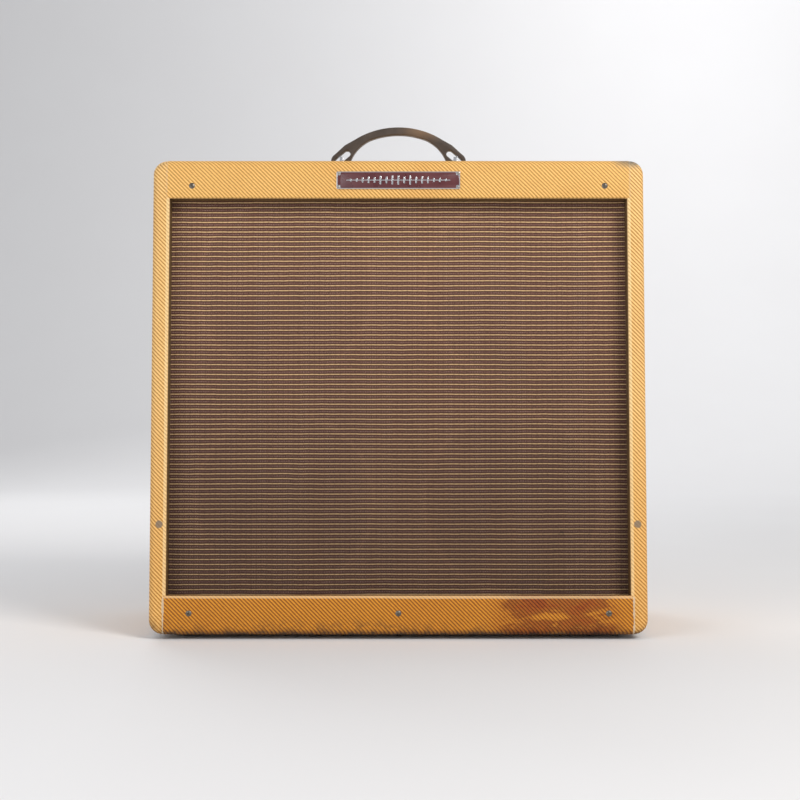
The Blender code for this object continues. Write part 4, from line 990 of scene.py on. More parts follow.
FRONT_FACING = (0, -math.cos(LEAN), math.sin(LEAN))
front_screw = cross_screw("front_screw_master", 3.65 * MM, 1.3 * MM)
SCREW_FROM_TOP, SCREW_FROM_BASE = 31.5 * MM, 25.6 * MM
front_spots = [on_front(x, TOP - SCREW_FROM_TOP, -0.35 * MM) for x in (-0.2505, 0.2505)]
front_spots += [on_front(x, BASE + SCREW_FROM_BASE, -0.35 * MM) for x in (-0.250, 0.0, 0.251)]
place_screws(front_screw, "front_screw", front_spots, FRONT_FACING, aged)
print("front screws:", len(front_spots))

# %% [markdown]
# ## The badge
# A pressed plate, chromed, with a thin rim round a maroon enamel field, whose corners are notched round four
# rivets. The field carries a plain ornament of raised bars, like a sound wave.

# %% Shape the plate
badge_low, badge_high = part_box("badge_plate")
BADGE_Z = (badge_low.z + badge_high.z) / 2
BADGE_HALF, BADGE_TALL = badge_high.x, 10.75 * MM
NOTCH = 3.6 * MM


def badge_face(x, up, proud=0.0):
    """A point on the badge: across it, up the slope from its middle, and out from the front."""
    return on_front(x, BADGE_Z + up * math.cos(LEAN), -proud)


def lugged_plate(name, half, tall, thick, notch, lift):
    """A flat plate whose corners are cut square, laid on the leaning front."""
    piece = box(name, (-half, -tall, 0), (half, tall, thick))
    corners = [
        box("corner_cut", (x - notch, y - notch, -thick), (x + notch, y + notch, 2 * thick))
        for x in (-half, half)
        for y in (-tall, tall)
    ]
    cut(piece, *corners)
    edit(piece)
    select_mode("edges")
    pick(piece, lambda e: abs(e.verts[0].co.z - e.verts[1].co.z) > thick / 2, "edges")
    bpy.ops.mesh.bevel(offset=notch * 0.28, segments=3, affect="EDGES")
    bpy.ops.object.mode_set(mode="OBJECT")
    round_edges(piece, min(0.35 * MM, thick * 0.4), 2, 50)
    return lean_on_front(piece, lift)


def lean_on_front(piece, lift):
    """Stand a piece modelled flat (X across, Y up, Z out) on the badge's place."""
    where = Matrix.Translation(badge_face(0, 0, lift)) @ Matrix.Rotation(math.pi / 2 - LEAN, 4, "X")
    piece.matrix_world = where
    settle(piece)
    return smooth(piece, 35)


BADGE_RIM = 1.1 * MM
rim = box("badge_rim", (-BADGE_HALF, -BADGE_TALL, 0), (BADGE_HALF, BADGE_TALL, 1.5 * MM))
edit(rim)
select_mode("edges")
pick(rim, lambda e: abs(e.verts[0].co.z - e.verts[1].co.z) > MM, "edges")
bpy.ops.mesh.bevel(offset=1.2 * MM, segments=3, affect="EDGES")
bpy.ops.object.mode_set(mode="OBJECT")
round_edges(rim, 0.45 * MM, 3, 50)
lean_on_front(rim, 0.35 * MM)
dress(rim, chrome, stands_for="badge_plate")


def badge_enamel():
    f = Finish("badge_enamel", roughness=0.28, Coat_Weight=0.6, Coat_Roughness=0.12)
    cloud = f.noise(f.place["Object"], 45, 4, 0.6)
    chips = f.between(f.noise(f.place["Object"], 300, 4, 0.7), 0.62, 0.74)
    enamel = f.mix(cloud, (0.060, 0.008, 0.012), (0.13, 0.020, 0.022))
    f.colour(f.mix(f.times(chips, 0.6), enamel, (0.24, 0.19, 0.16)))
    f.rough(f.between(cloud, 0.3, 0.8, 0.22, 0.5))
    f.bump(cloud, 0.05 * MM, 0.3)
    return f.material


FIELD_HALF, FIELD_TALL = BADGE_HALF - BADGE_RIM, BADGE_TALL - BADGE_RIM
field = lugged_plate("badge_field", FIELD_HALF, FIELD_TALL, 1.75 * MM, NOTCH, 0.35 * MM)
dress(field, badge_enamel())

# %% The ornament and the rivets
BARS = 17
BAR_PITCH = 7.2 * MM
bars = []
for i in range(BARS):
    x = (i - (BARS - 1) / 2) * BAR_PITCH
    swell = math.cos(x / (BARS * BAR_PITCH) * math.pi) * (0.45 + 0.55 * abs(math.cos(i * 1.25)))
    half = 1.2 * MM + 4.9 * MM * swell
    bar = box("ornament_bar", (x - 1.0 * MM, -half, 1.6 * MM), (x + 1.0 * MM, half, 2.5 * MM))
    bars.append(bar)
spine = box("ornament_spine", (-63 * MM, -0.55 * MM, 1.6 * MM), (63 * MM, 0.55 * MM, 2.2 * MM))
ornament = join("badge_ornament", [*bars, spine])
round_edges(ornament, 0.4 * MM, 3, 50)
lean_on_front(ornament, 0.35 * MM)
dress(ornament, chrome)
rivet = turn_profile("rivet_master", mm((0, 1.3), (0.8, 1.1), (1.45, 0.45), (1.6, 0), (0, 0)), 20)
rivet_spots = [
    badge_face(x * (BADGE_HALF - 2.3 * MM), up * (BADGE_TALL - 2.3 * MM), 1.8 * MM)
    for x in (-1, 1)
    for up in (-1, 1)
]
place_screws(rivet, "badge_rivet", rivet_spots, FRONT_FACING, nickel)
print("badge:", round(2 * BADGE_HALF, 4), "wide,", BARS, "bars")

# %% [markdown]
# ## The handle
# A moulded strap arches between two dog-bone ends, and a slot in each end slides on a nickel bar. It is one
# flat outline with its slots, filled and thickened, whose edges are then rounded like the moulding's.

# %% Its outline
handle_low, handle_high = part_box("handle_strap")
HANDLE_Y = (handle_low.y + handle_high.y) / 2
HANDLE_WIDTH = handle_high.y - handle_low.y
STRAP = 9.4 * MM
CREST = handle_high.z - TOP - STRAP / 2
EYE, EYE_RADIUS = Vector((76 * MM, 11.8 * MM)), 9.5 * MM
SLOT_END, SLOT_HALF = Vector((65 * MM, 21 * MM)), 4.2 * MM


def arc(centre, radius, start, end, steps):
    angles = [math.radians(start + (end - start) * i / steps) for i in range(steps + 1)]
    return [(centre[0] + radius * math.cos(a), centre[1] + radius * math.sin(a)) for a in angles]


def crest_line(t):
    """The strap's middle line, from its centre at 0 to where an end widens at 1."""
    return Vector((t * 53.5 * MM, CREST - 15.3 * MM * (0.9 * t**2 + 0.1 * t**4)))


def handle_outline(steps=14):
    over, under = [], []
    for i in range(steps + 1):
        t = i / steps
        heading = (crest_line(t + 0.01) - crest_line(t - 0.01)).normalized()
        normal = Vector((-heading.y, heading.x)) * STRAP / 2
        over.append(crest_line(t) + normal)
        under.append(crest_line(t) - normal)
    shoulder = [(68.2 * MM, 31.6 * MM), (73.6 * MM, 26.6 * MM), (78.6 * MM, 22.0 * MM)]
    eye = arc(EYE, EYE_RADIUS, 50, -95, 16)
    inside = [(70.5 * MM, 3.0 * MM), (66.3 * MM, 4.2 * MM), (63.2 * MM, 7.6 * MM), (60.6 * MM, 12.0 * MM)]
    root, bend, leave = Vector(inside[-1]), under[-1] + Vector((2.4 * MM, -1.0 * MM)), under[-5]
    inside += [tuple(root.lerp(bend, t / 8).lerp(bend.lerp(leave, t / 8), t / 8)) for t in range(1, 8)]
    half = [tuple(p) for p in over] + shoulder + eye + inside + [tuple(p) for p in under[-5::-1]]
    return half + [(-x, z) for x, z in half[::-1]][1:-1]


def handle_slot(side):
    outer, inner = Vector((side * EYE.x, EYE.y)), Vector((side * SLOT_END.x, SLOT_END.y))
    heading = math.degrees(math.atan2((outer - inner).y, (outer - inner).x))
    far_end = arc(outer, SLOT_HALF, heading - 90, heading + 90, 12)
    return far_end + arc(inner, SLOT_HALF, heading + 90, heading + 270, 12)


def filled_outline(name, loops, thickness):
    """Closed loops in the XY plane, filled with their holes left open, and given a thickness."""
    curve = bpy.data.curves.new(name, "CURVE")
    curve.dimensions, curve.fill_mode, curve.extrude = "2D", "BOTH", thickness / 2
    for loop in loops:
        spline = curve.splines.new("POLY")
        spline.points.add(len(loop) - 1)
        for point, (x, y) in zip(spline.points, loop):
            point.co = (x, y, 0, 1)
        spline.use_cyclic_u = True
    piece = bpy.data.objects.new(name, curve)
    bpy.context.scene.collection.objects.link(piece)
    hold(piece)
    bpy.ops.object.convert(target="MESH")
    return face_out(bpy.context.object)


handle = filled_outline("handle_moulding", [handle_outline(), handle_slot(-1), handle_slot(1)], HANDLE_WIDTH)
edit(handle)
bpy.ops.mesh.select_all(action="SELECT")
bpy.ops.mesh.dissolve_limited(angle_limit=math.radians(1))
bpy.ops.object.mode_set(mode="OBJECT")
round_edges(handle, 2.4 * MM, 4, 55)
handle.matrix_world = Matrix.Translation((0, HANDLE_Y, TOP)) @ Matrix.Rotation(math.pi / 2, 4, "X")
settle(handle)


def handle_finish():
    f = Finish("handle_moulding", roughness=0.38, Coat_Weight=0.25, Coat_Roughness=0.3)
    x, _, z = f.parts(f.place["Object"])
    hide = f.add("TexVoronoi", f.place["Object"], feature="F1")
    hide.inputs["Scale"].default_value = 850
    cloud = f.noise(f.place["Object"], 55, 4, 0.6)
    # painted highlight: the top of the arch, right of the middle, is painted paler brown where the light
    # from the upper right falls
    tone_patch = f.times(f.between(x, -0.005, 0.030), f.between(x, 0.062, 0.035))
    tone_patch = f.times(tone_patch, f.between(f.plus(z, f.times(cloud, 0.01)), TOP + 0.038, TOP + 0.056))
    base = f.mix(cloud, (0.030, 0.021, 0.015), (0.085, 0.058, 0.040))
    f.colour(f.mix(f.times(tone_patch, 0.8), base, (0.20, 0.115, 0.055)))
    f.rough(f.between(cloud, 0.3, 0.8, 0.30, 0.55))
    f.bump(hide.outputs[0], 0.05 * MM, 0.35).bump(cloud, 0.4 * MM, 0.4)
    return f.material


smooth(handle, 40)
dress(handle, handle_finish(), "handle", "handle_strap")
print("handle:", len(handle.data.polygons), "faces")

# %% [markdown]
# ## Handle brackets
# Each is a strip of nickelled steel bent into a bridge that the slot slides on, with a round-ended foot
# screwed down before and behind it.

# %% Bend a bracket
BAR = 1.8 * MM


def bracket(side):
    node = "handle_bracket_right" if side > 0 else "handle_bracket_left"
    low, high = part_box(node)
    middle_x, middle_y = (low.x + high.x) / 2, (low.y + high.y) / 2
    half, top = (high.x - low.x) / 2, high.z - low.z
    span = 12.5 * MM
    outline = [(-span - 0.6 * MM, 0), (-span - 0.6 * MM, BAR), (-span, BAR), (-span, top), (span, top)]
    outline += [(span, BAR), (span + 0.6 * MM, BAR), (span + 0.6 * MM, 0), (span - BAR, 0)]
    outline += [(span - BAR, top - BAR)]
    outline += [(-span + BAR, top - BAR), (-span + BAR, 0)]
    bridge = filled_outline("bracket_bridge", [outline], 2 * half)
    bridge.matrix_world = Matrix(((0, 0, 1, middle_x), (1, 0, 0, middle_y), (0, 1, 0, low.z), (0, 0, 0, 1)))
    settle(bridge)
    round_edges(bridge, 0.7 * MM, 3, 50)
    feet = []
    for way in (-1, 1):
        y = middle_y + way * (span + 7.0 * MM)
        foot = rod("bracket_foot", (middle_x, y, low.z), (middle_x, y, low.z + BAR), 5.0 * MM, 32)
        neck = box(
            "bracket_neck",
            (middle_x - half, min(y, middle_y + way * span), low.z),
            (middle_x + half, max(y, middle_y + way * span), low.z + BAR * 0.98),
        )
        for piece in (foot, neck):
            round_edges(piece, 0.4 * MM, 2, 50)
        feet += [foot, neck]
    piece = join(f"bracket_{'right' if side > 0 else 'left'}", [bridge, *feet])
    smooth(piece, 35)
    dress(piece, chrome, "cabinet", node)
    return [(middle_x, middle_y + way * (span + 7.0 * MM), low.z + BAR) for way in (-1, 1)]


foot_spots = bracket(-1) + bracket(1)
foot_screw = cross_screw("foot_screw_master", 3.0 * MM, 1.1 * MM)
place_screws(foot_screw, "bracket_screw", foot_spots, (0, 0, 1), nickel)
print("bracket screws:", len(foot_spots))

# %% [markdown]
# ## The rear panels
# Two plywood boards wrapped in the same tweed close the top and bottom of the back. Their cloth is turned
# round the edges, so the boards have soft corners, and cup-washered screws hold them to cleats.

# %% Round the boards and lay the cloth
PANEL_EDGE = 2.2 * MM


def covered_board(name, node):
    source = frame["nodes"][node]
    drop_selection()
    piece = source.copy()
    piece.data = source.data.copy()
    piece.name = piece.data.name = name
    bpy.context.scene.collection.objects.link(piece)
    for key in list(piece.keys()):
        del piece[key]
    settle(piece)
    face_out(piece)
    edit(piece)
    bpy.ops.mesh.select_all(action="SELECT")
    bpy.ops.mesh.dissolve_limited(angle_limit=math.radians(2))
    bpy.ops.object.mode_set(mode="OBJECT")
    round_edges(piece, PANEL_EDGE, 4, 50)
    low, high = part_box(node)
    half_way = (low.z + high.z) / 2
    lay_cloth(piece, lambda x, y, z: (-x, z + (BACK - y if z > half_way else y - BACK)))
    smooth(piece, 40)
    return piece


rear_tweed = tweed("tweed_rear_panels", (0.94, 0.60, 0.225), DARK, 0.15)
upper_panel = covered_board("upper_panel_cloth", "upper_rear_panel")
dress(upper_panel, rear_tweed, stands_for="upper_rear_panel")
lower_panel = covered_board("lower_panel_cloth", "lower_rear_panel")
dress(lower_panel, rear_tweed, stands_for="lower_rear_panel")
rear_screw = cross_screw("rear_screw_master", 3.4 * MM, 1.3 * MM, 6.4 * MM)
lower_z, upper_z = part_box("lower_rear_panel"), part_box("upper_rear_panel")
rear_spots = [(x, BACK, z) for x in (-0.272, 0.272) for z in (upper_z[0].z + 0.022, upper_z[1].z - 0.030)]
rear_spots += [(x, BACK, lower_z[1].z - 0.022) for x in (-0.272, 0.272)]
rear_spots += [(x, BACK, lower_z[0].z + 0.012) for x in (-0.272, -0.09, 0.09, 0.272)]
rear_spots = [(x, y + 0.5 * MM, z) for x, y, z in rear_spots]
place_screws(rear_screw, "rear_screw", rear_spots, (0, 1, 0), plated)
print("rear screws:", len(rear_spots))

# %% [markdown]
# ## The controls
# The chrome control plate lies in its slot in the top, facing up, and is read from behind. Each pointer knob
# is a round moulding drawn out to a nose, with a white line along its crest, and numbers run round it.

# %% The plate
chassis_low, chassis_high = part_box("chassis")
PLATE_Z = chassis_high.z
joints = {joint["child"]: joint for joint in frame["joints"]}
CONTROLS_Y = joints["fuse_cap"]["pos_m"][1]
knobs = [child for child in joints if child.endswith("_knob")]


def on_plate(x, y=0.0, up=0.0):
    """A point over the control plate, from the line of the controls."""
    return Vector((x, CONTROLS_Y + y, PLATE_Z + up))


def plate_finish():
    f = Finish("chrome_control_plate", (0.80, 0.80, 0.82), 0.12, 1.0)
    scratch = f.noise(f.spread(f.place["Object"], (30, 900, 30)), 1.0, 3, 0.6)
    haze = f.noise(f.place["Object"], 22, 4, 0.6)
    f.colour(f.mix(f.between(haze, 0.5, 0.8, 0.0, 0.35), (0.80, 0.80, 0.82), (0.50, 0.44, 0.36)))
    f.rough(f.between(f.plus(scratch, haze), 0.8, 1.4, 0.07, 0.32))
    return f.material


face_plate = box(
    "control_plate",
    (-0.2545, chassis_low.y + 6.3 * MM, PLATE_Z + 0.15 * MM),
    (0.2545, chassis_high.y - 1 * MM, PLATE_Z + 0.60 * MM),
)
BUSHES = [(joints[k]["pos_m"][0], 5.2 * MM) for k in knobs]
JACKS = ("bright_jack_1", "bright_jack_2", "normal_jack_1", "normal_jack_2")
jack_x = {name: (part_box(name)[0].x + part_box(name)[1].x) / 2 for name in JACKS}
SWITCHES = ("ground", "power", "standby")
switch_x = {name: joints[f"{name}_lever"]["pos_m"][0] for name in SWITCHES}
LAMP_X = (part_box("pilot_lamp")[0].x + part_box("pilot_lamp")[1].x) / 2
FUSE_X = joints["fuse_cap"]["pos_m"][0]
BUSHES += [(x, 5.4 * MM) for x in jack_x.values()] + [(x, 6.6 * MM) for x in switch_x.values()]
BUSHES += [(FUSE_X, 6.8 * MM), (LAMP_X, 7.6 * MM)]
for x, radius in BUSHES:
    cut(face_plate, rod("plate_hole", on_plate(x, 0, -MM), on_plate(x, 0, MM), radius, 28))
dress(smooth(face_plate, 30), plate_finish())

# %% Numbers and rules round the controls
marks = []
NUMBERS = 12


def flat_text(words, size, x, y, turn=math.pi):
    drop_selection()
    bpy.ops.object.text_add(location=(0, 0, 0))
    piece = bpy.context.object
    piece.data.body = words
    piece.data.size = size
    piece.data.align_x = "CENTER"
    piece.data.align_y = "CENTER"
    piece.data.extrude = 0.04 * MM
    piece.data.resolution_u = 3
    hold(piece)
    bpy.ops.object.convert(target="MESH")
    piece = bpy.context.object
    piece.matrix_world = Matrix.Translation(on_plate(x, y, 0.645 * MM)) @ Matrix.Rotation(turn, 4, "Z")
    return settle(piece)


for knob in knobs:
    x = joints[knob]["pos_m"][0]
    for i in range(NUMBERS):
        angle = math.radians(-150 + 300 * i / (NUMBERS - 1) - 90)
        reach = 15.6 * MM
        marks.append(flat_text(str(i + 1), 3.3 * MM, x - reach * math.cos(angle), reach * math.sin(angle)))
for i, (name, x) in enumerate(sorted(jack_x.items())):
    marks.append(flat_text(str(i % 2 + 1), 3.6 * MM, x, 15.0 * MM))
for name, x in switch_x.items():
    for words, y in (("1", -15.0 * MM), ("0", 15.0 * MM)):
        marks.append(flat_text(words, 3.3 * MM, x, y))
engraving = join("plate_numbers", marks)
dress(engraving, phenolic)
print("plate marks:", len(marks))

# %% [markdown]
# ## Knobs, jacks and switches
# Everything here turns or is round, so each part is a spun profile or an outline raised and bevelled.
# Each moving part rides on its own body, and stands where the working model has it.

# %% Pointer knobs
KNOB_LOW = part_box(knobs[0])[1].z - 16.5 * MM


def knob_outline(grow=0.0):
    body = arc((0, 0), 9.3 * MM + grow, -38, 218, 28)
    tip = 1.5 * MM + grow
    return body + [(-tip, -16.4 * MM - grow), (0, -17.3 * MM - grow), (tip, -16.4 * MM - grow)]


def pointer_knob(name, x, rest_turn):
    skirt = filled_outline("knob_skirt", [knob_outline()], 5.0 * MM)
    body = filled_outline("knob_body", [knob_outline(-1.1 * MM)], 11.5 * MM)
    skirt.location.z, body.location.z = 2.5 * MM, 10.75 * MM
    for part in (skirt, body):
        settle(part)
    edit(body)
    select_mode("faces")
    pick(body, lambda f: f.normal.z > 0.9)
    bpy.ops.transform.resize(value=(0.80, 0.86, 1), center_override=(0, -2 * MM, 0))
    bpy.ops.object.mode_set(mode="OBJECT")
    round_edges(skirt, 0.7 * MM, 3, 45)
    round_edges(body, 1.0 * MM, 3, 45)
    shaft = rod("knob_shaft", (0, 0, -12 * MM), (0, 0, 4 * MM), 3.1 * MM, 24)
    spin = Matrix.Translation((x, CONTROLS_Y, KNOB_LOW)) @ Matrix.Rotation(rest_turn, 4, "Z")
    knob = join(f"{name}_moulding", [skirt, body])
    line = box("knob_line", (-0.45 * MM, -14.2 * MM, 16.3 * MM), (0.45 * MM, -1.0 * MM, 16.75 * MM))
    round_edges(line, 0.15 * MM, 2, 50)
    for part, label in ((knob, f"{name}_moulding"), (shaft, f"{name}_shaft"), (line, f"{name}_line")):
        part.matrix_world = spin
        settle(part, label)
    smooth(knob, 38)
    dress(knob, chickenhead, name, name)
    dress(smooth(shaft, 38), brass, name)
    dress(line, white_fill, name)


for knob in knobs:
    low_turn, high_turn = joints[knob]["range_deg"]
    pointer_knob(knob, joints[knob]["pos_m"][0], -math.radians((low_turn + high_turn) / 2))
finish_node(brass, "potentiometers")
print("knobs:", len(knobs))


# %% Hexagon nuts and threaded bushes
def hex_nut(name, across, hole, thick, chamfer=0.35 * MM):
    """A hexagon with its corners turned off and a round hole."""
    nut = rod(name, (0, 0, 0), (0, 0, thick), across / math.sqrt(3), 6)
    turned_off = turn_profile(
        "nut_turning",
        [
            (0, 0), (across * 0.54, 0), (across * 0.585, chamfer), (across * 0.585, thick - chamfer),
            (across * 0.54, thick), (0, thick),
        ],
        36,
    )
    modify(nut, "BOOLEAN", operation="INTERSECT", object=turned_off, solver="EXACT")
    bpy.data.objects.remove(turned_off)
    cut(nut, rod("nut_hole", (0, 0, -thick), (0, 0, 2 * thick), hole, 24))
    return smooth(nut, 30)


def threaded(name, radius, bore, low, high, pitch=0.75 * MM):
    """A tube whose outside has rings for its thread."""
    rings = int((high - low) / pitch)
    outside = []
    for i in range(rings):
        outside += [(radius - 0.25 * MM, low + i * pitch), (radius, low + (i + 0.5) * pitch)]
    outside.append((radius - 0.25 * MM, high))
    return turn_profile(
        name,
        [(bore, low), *outside, (bore + 0.2 * MM, high), (bore, high - 0.2 * MM)],
        28,
        True,
    )


pot_nut = hex_nut("pot_nut_master", 12.6 * MM, 4.9 * MM, 2.2 * MM)
for knob in knobs:
    nut = copy(pot_nut, f"{knob}_nut", on_plate(joints[knob]["pos_m"][0], 0, 0.3 * MM))
    dress(nut, plated)
bpy.data.objects.remove(pot_nut)

# %% Input jacks
jack_nut = hex_nut("jack_nut_master", 14.2 * MM, 5.0 * MM, 2.0 * MM)
jack_bush = threaded("jack_bush_master", 4.65 * MM, 3.4 * MM, -1.8 * MM, 2.2 * MM)
jack_frame = turn_profile(
    "jack_frame_master",
    mm((3.4, -16), (7.2, -16), (7.4, -15), (7.4, -2.2), (3.4, -1.9)),
    32,
    True,
)
for name, x in jack_x.items():
    body = copy(jack_frame, f"{name}_body", on_plate(x))
    bush = copy(jack_bush, f"{name}_bush", on_plate(x))
    nut = copy(jack_nut, f"{name}_nut", on_plate(x, 0, 0.3 * MM), Matrix.Rotation(x * 9, 4, "Z"))
    dress(body, phenolic, "cabinet", name)
    for piece in (bush, nut):
        dress(piece, plated)
for master in (jack_nut, jack_bush, jack_frame):
    bpy.data.objects.remove(master)
print("jacks:", len(jack_x))

# %% Toggle switches
toggle_nut = hex_nut("toggle_nut_master", 14.2 * MM, 6.1 * MM, 2.4 * MM)
toggle_bush = threaded("toggle_bush_master", 5.8 * MM, 4.3 * MM, -1.8 * MM, 8.0 * MM)
toggle_lever = turn_profile(
    "toggle_lever_master",
    mm(
        (0, -2.6), (1.8, -1.9), (2.6, 0), (1.5, 2.2), (1.8, 7.0), (2.75, 12.4), (2.7, 13.9),
        (2.0, 15.1), (0, 15.5),
    ),
    28,
)
for name, x in switch_x.items():
    low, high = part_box(f"{name}_switch_body")
    shelf = PLATE_Z - 1.9 * MM
    body = box(f"{name}_case", (low.x, low.y, low.z), (high.x, high.y, shelf))
    round_edges(body, 0.8 * MM, 3)
    for i in (-1, 1):
        tag = box(
            "switch_tag",
            (x - 2 * MM, CONTROLS_Y + i * 8 * MM - 0.3 * MM, low.z - 6 * MM),
            (x + 2 * MM, CONTROLS_Y + i * 8 * MM + 0.3 * MM, low.z + MM),
        )
        body = join(f"{name}_case", [body, round_edges(tag, 0.1 * MM, 1)])
    dress(smooth(body), phenolic, "cabinet", f"{name}_switch_body")
    dress(copy(toggle_bush, f"{name}_bush", on_plate(x)), chrome)
    dress(copy(toggle_nut, f"{name}_nut", on_plate(x, 0, 0.3 * MM)), chrome)
    pivot = Vector(joints[f"{name}_lever"]["pos_m"])
    lever = copy(toggle_lever, f"{name}_bat", pivot, Matrix.Rotation(math.radians(12), 4, "X"))
    dress(lever, chrome, f"{name}_lever", f"{name}_switch_lever")
for master in (toggle_nut, toggle_bush, toggle_lever):
    bpy.data.objects.remove(master)

# %% Fuse holder and its knurled cap
neck = 4.0 * MM
holder = turn_profile(
    "fuse_body",
    [(4.6 * MM, -29 * MM), (5.8 * MM, -29 * MM), (5.9 * MM, 0), (5.9 * MM, neck), (4.9 * MM, neck)],
    32,
    True,
)
stand(holder, on_plate(FUSE_X))
dress(holder, phenolic, "cabinet", "fuse_holder")
collar = hex_nut("fuse_nut", 16 * MM, 6.1 * MM, 2.0 * MM)
dress(stand(collar, on_plate(FUSE_X, 0, 0.3 * MM)), phenolic)
cap = turn_profile(
    "fuse_cap_moulding",
    [
        (0, neck - 10 * MM), (4.0 * MM, neck - 10 * MM), (4.0 * MM, neck + 0.4 * MM),
        (6.2 * MM, neck + 0.4 * MM), (6.5 * MM, neck + 1.0 * MM), (6.5 * MM, neck + 8.4 * MM),
        (5.7 * MM, neck + 9.5 * MM), (0, neck + 9.5 * MM),
    ],
    72,
)
for vert in cap.data.vertices:
    radius = math.hypot(vert.co.x, vert.co.y)
    if radius > 6.4 * MM:
        tooth = 1 - 0.045 * (round(math.degrees(math.atan2(vert.co.y, vert.co.x)) / 5) % 2)
        vert.co.x, vert.co.y = vert.co.x * tooth, vert.co.y * tooth
slot_bar = box("cap_slot", (-4.4 * MM, -0.6 * MM, neck + 8.6 * MM), (4.4 * MM, 0.6 * MM, neck + 12 * MM))
cut(cap, slot_bar)
stand(cap, on_plate(FUSE_X))
dress(smooth(cap, 25), phenolic, "fuse_cap", "fuse_cap")

# %% Pilot lamp
bezel = turn_profile(
    "lamp_bezel",
    mm((6.9, -1.8), (7.0, 0.3), (9.2, 0.35), (9.0, 1.6), (7.9, 3.4), (7.4, 4.2), (6.4, 4.0), (6.2, -1.8)),
    40,
    True,
)
stand(bezel, on_plate(LAMP_X))
dress(bezel, chrome)
jewel = turn_profile(
    "lamp_jewel",
    mm((0, 2.4), (6.3, 2.4), (6.6, 4.4), (5.9, 7.0), (3.9, 9.6), (0, 11.2)),
    8,
)
stand(jewel, on_plate(LAMP_X))
smooth(jewel, 5)
red = Finish("lamp_jewel", (0.62, 0.012, 0.012), 0.06, IOR=1.52, Transmission_Weight=0.55, Coat_Weight=0.5)
ripple = red.noise(red.place["Object"], 160, 3)
red.colour(red.mix(ripple, (0.50, 0.008, 0.010), (0.80, 0.03, 0.02)))
red.bump(ripple, 0.05 * MM, 0.3)
dress(jewel, red.material, "cabinet", "pilot_lamp")
socket = turn_profile(
    "lamp_socket",
    mm((0, -21.5), (5.2, -21.5), (5.2, -8), (6.9, -7.5), (6.9, -1.9), (0, -1.9)),
    32,
)
dress(stand(socket, on_plate(LAMP_X)), plated)
print("lamp, fuse and", len(switch_x), "switches made")

# %% [markdown]
# ## Loudspeakers
# Four ten-inch loudspeakers hang behind the board. A pressed steel basket with open windows carries a magnet
# under a smooth bell, and a ribbed paper cone is glued to it by its edge. All of it is turned, so one of
# each part is spun with its axis up, the windows are cut, and copies are leaned into place.

# %% Spin the basket and cut its windows
RIM, SEAT, FLANGE_RADIUS = 112 * MM, 50 * MM, 128.5 * MM
basket = turn_profile(
    "basket_master",
    [
        (SEAT - 4 * MM, -55 * MM), (SEAT, -54 * MM), (SEAT + 4 * MM, -51 * MM),
        (RIM - 14 * MM, -19 * MM), (RIM - 4 * MM, -12 * MM), (RIM - 1 * MM, -4 * MM),
        (RIM + 1 * MM, -2.6 * MM), (127.4 * MM, -2.6 * MM), (128.5 * MM, -1.8 * MM),
        (128.5 * MM, -0.4 * MM), (127.8 * MM, 0), (RIM, 0), (RIM - 3 * MM, -3 * MM),
        (RIM - 6 * MM, -12 * MM), (RIM - 15.5 * MM, -17.6 * MM), (SEAT + 3 * MM, -49.4 * MM),
        (SEAT - 4 * MM, -53 * MM),
    ],
    96,
    True,
)
WINDOWS = 8
window_tools = []
for i in range(WINDOWS):
    wedge = box("window", (SEAT + 6.5 * MM, -15 * MM, -60 * MM), (RIM - 17 * MM, 15 * MM, -5 * MM))
    edit(wedge)
    select_mode("faces")
    pick(wedge, lambda f: f.normal.x < -0.9)
    bpy.ops.transform.resize(value=(1, 0.52, 1), center_override=(0, 0, 0))
    pick(wedge, lambda f: f.normal.x > 0.9)
    bpy.ops.transform.resize(value=(1, 1.55, 1), center_override=(0, 0, 0))
    select_mode("edges")
    pick(wedge, lambda e: abs(e.verts[0].co.z - e.verts[1].co.z) > 0.01, "edges")
    bpy.ops.mesh.bevel(offset=5 * MM, segments=4, affect="EDGES")
    bpy.ops.object.mode_set(mode="OBJECT")
    turn = Matrix.Rotation(math.tau * (i + 0.5) / WINDOWS, 4, "Z")
    window_tools.append(copy(wedge, "window_cut", turn=turn))
    bpy.data.objects.remove(wedge)
cut(basket, *window_tools)
smooth(basket, 30)

# %% Magnet, bell, cone, surround and the small parts
bell = turn_profile(
    "bell_master",
    mm(
        (0, -56), (45, -56), (46.5, -58.5), (46.5, -62), (44.5, -63.5), (44.5, -88), (42.5, -94.5),
        (37, -99), (30, -100.9), (0, -101),
    ),
    64,
)
ribs = []
for i in range(34):
    share = i / 33
    radius = 24 * MM + share * (101 - 24) * MM
    depth = -33.5 * MM + share * 30 * MM + 0.45 * MM * math.sin(share * math.tau * 5.5)
    ribs.append((radius, depth))
cone = turn_profile("cone_master", [(14 * MM, -42.5 * MM), (19 * MM, -38 * MM), *ribs], 72)
modify(cone, "SOLIDIFY", thickness=0.5 * MM, offset=-1)
surround = turn_profile(
    "surround_master",
    mm(
        (100.5, -3.4), (102.4, -1.6), (104.4, -3.6), (106.4, -1.6), (108.6, -3.0), (111, -0.8),
        (113, -0.6),
    ),
    72,
)
modify(surround, "SOLIDIFY", thickness=0.5 * MM, offset=-1)
dome = turn_profile("dome_master", mm((0, -31.0), (9, -31.8), (17, -34.2), (22, -36.0)), 48)
modify(dome, "SOLIDIFY", thickness=0.4 * MM, offset=-1)
spider = turn_profile(
    "spider_master",
    [(14 * MM, -45 * MM)] + [(17 * MM + i * 4 * MM, (-46.4 if i % 2 else -44.6) * MM) for i in range(8)],
    48,
)
modify(spider, "SOLIDIFY", thickness=0.5 * MM, offset=-1)
coil_tube = turn_profile("coil_master", mm((13.3, -40), (13.3, -62), (12.8, -62), (12.8, -40)), 40, True)
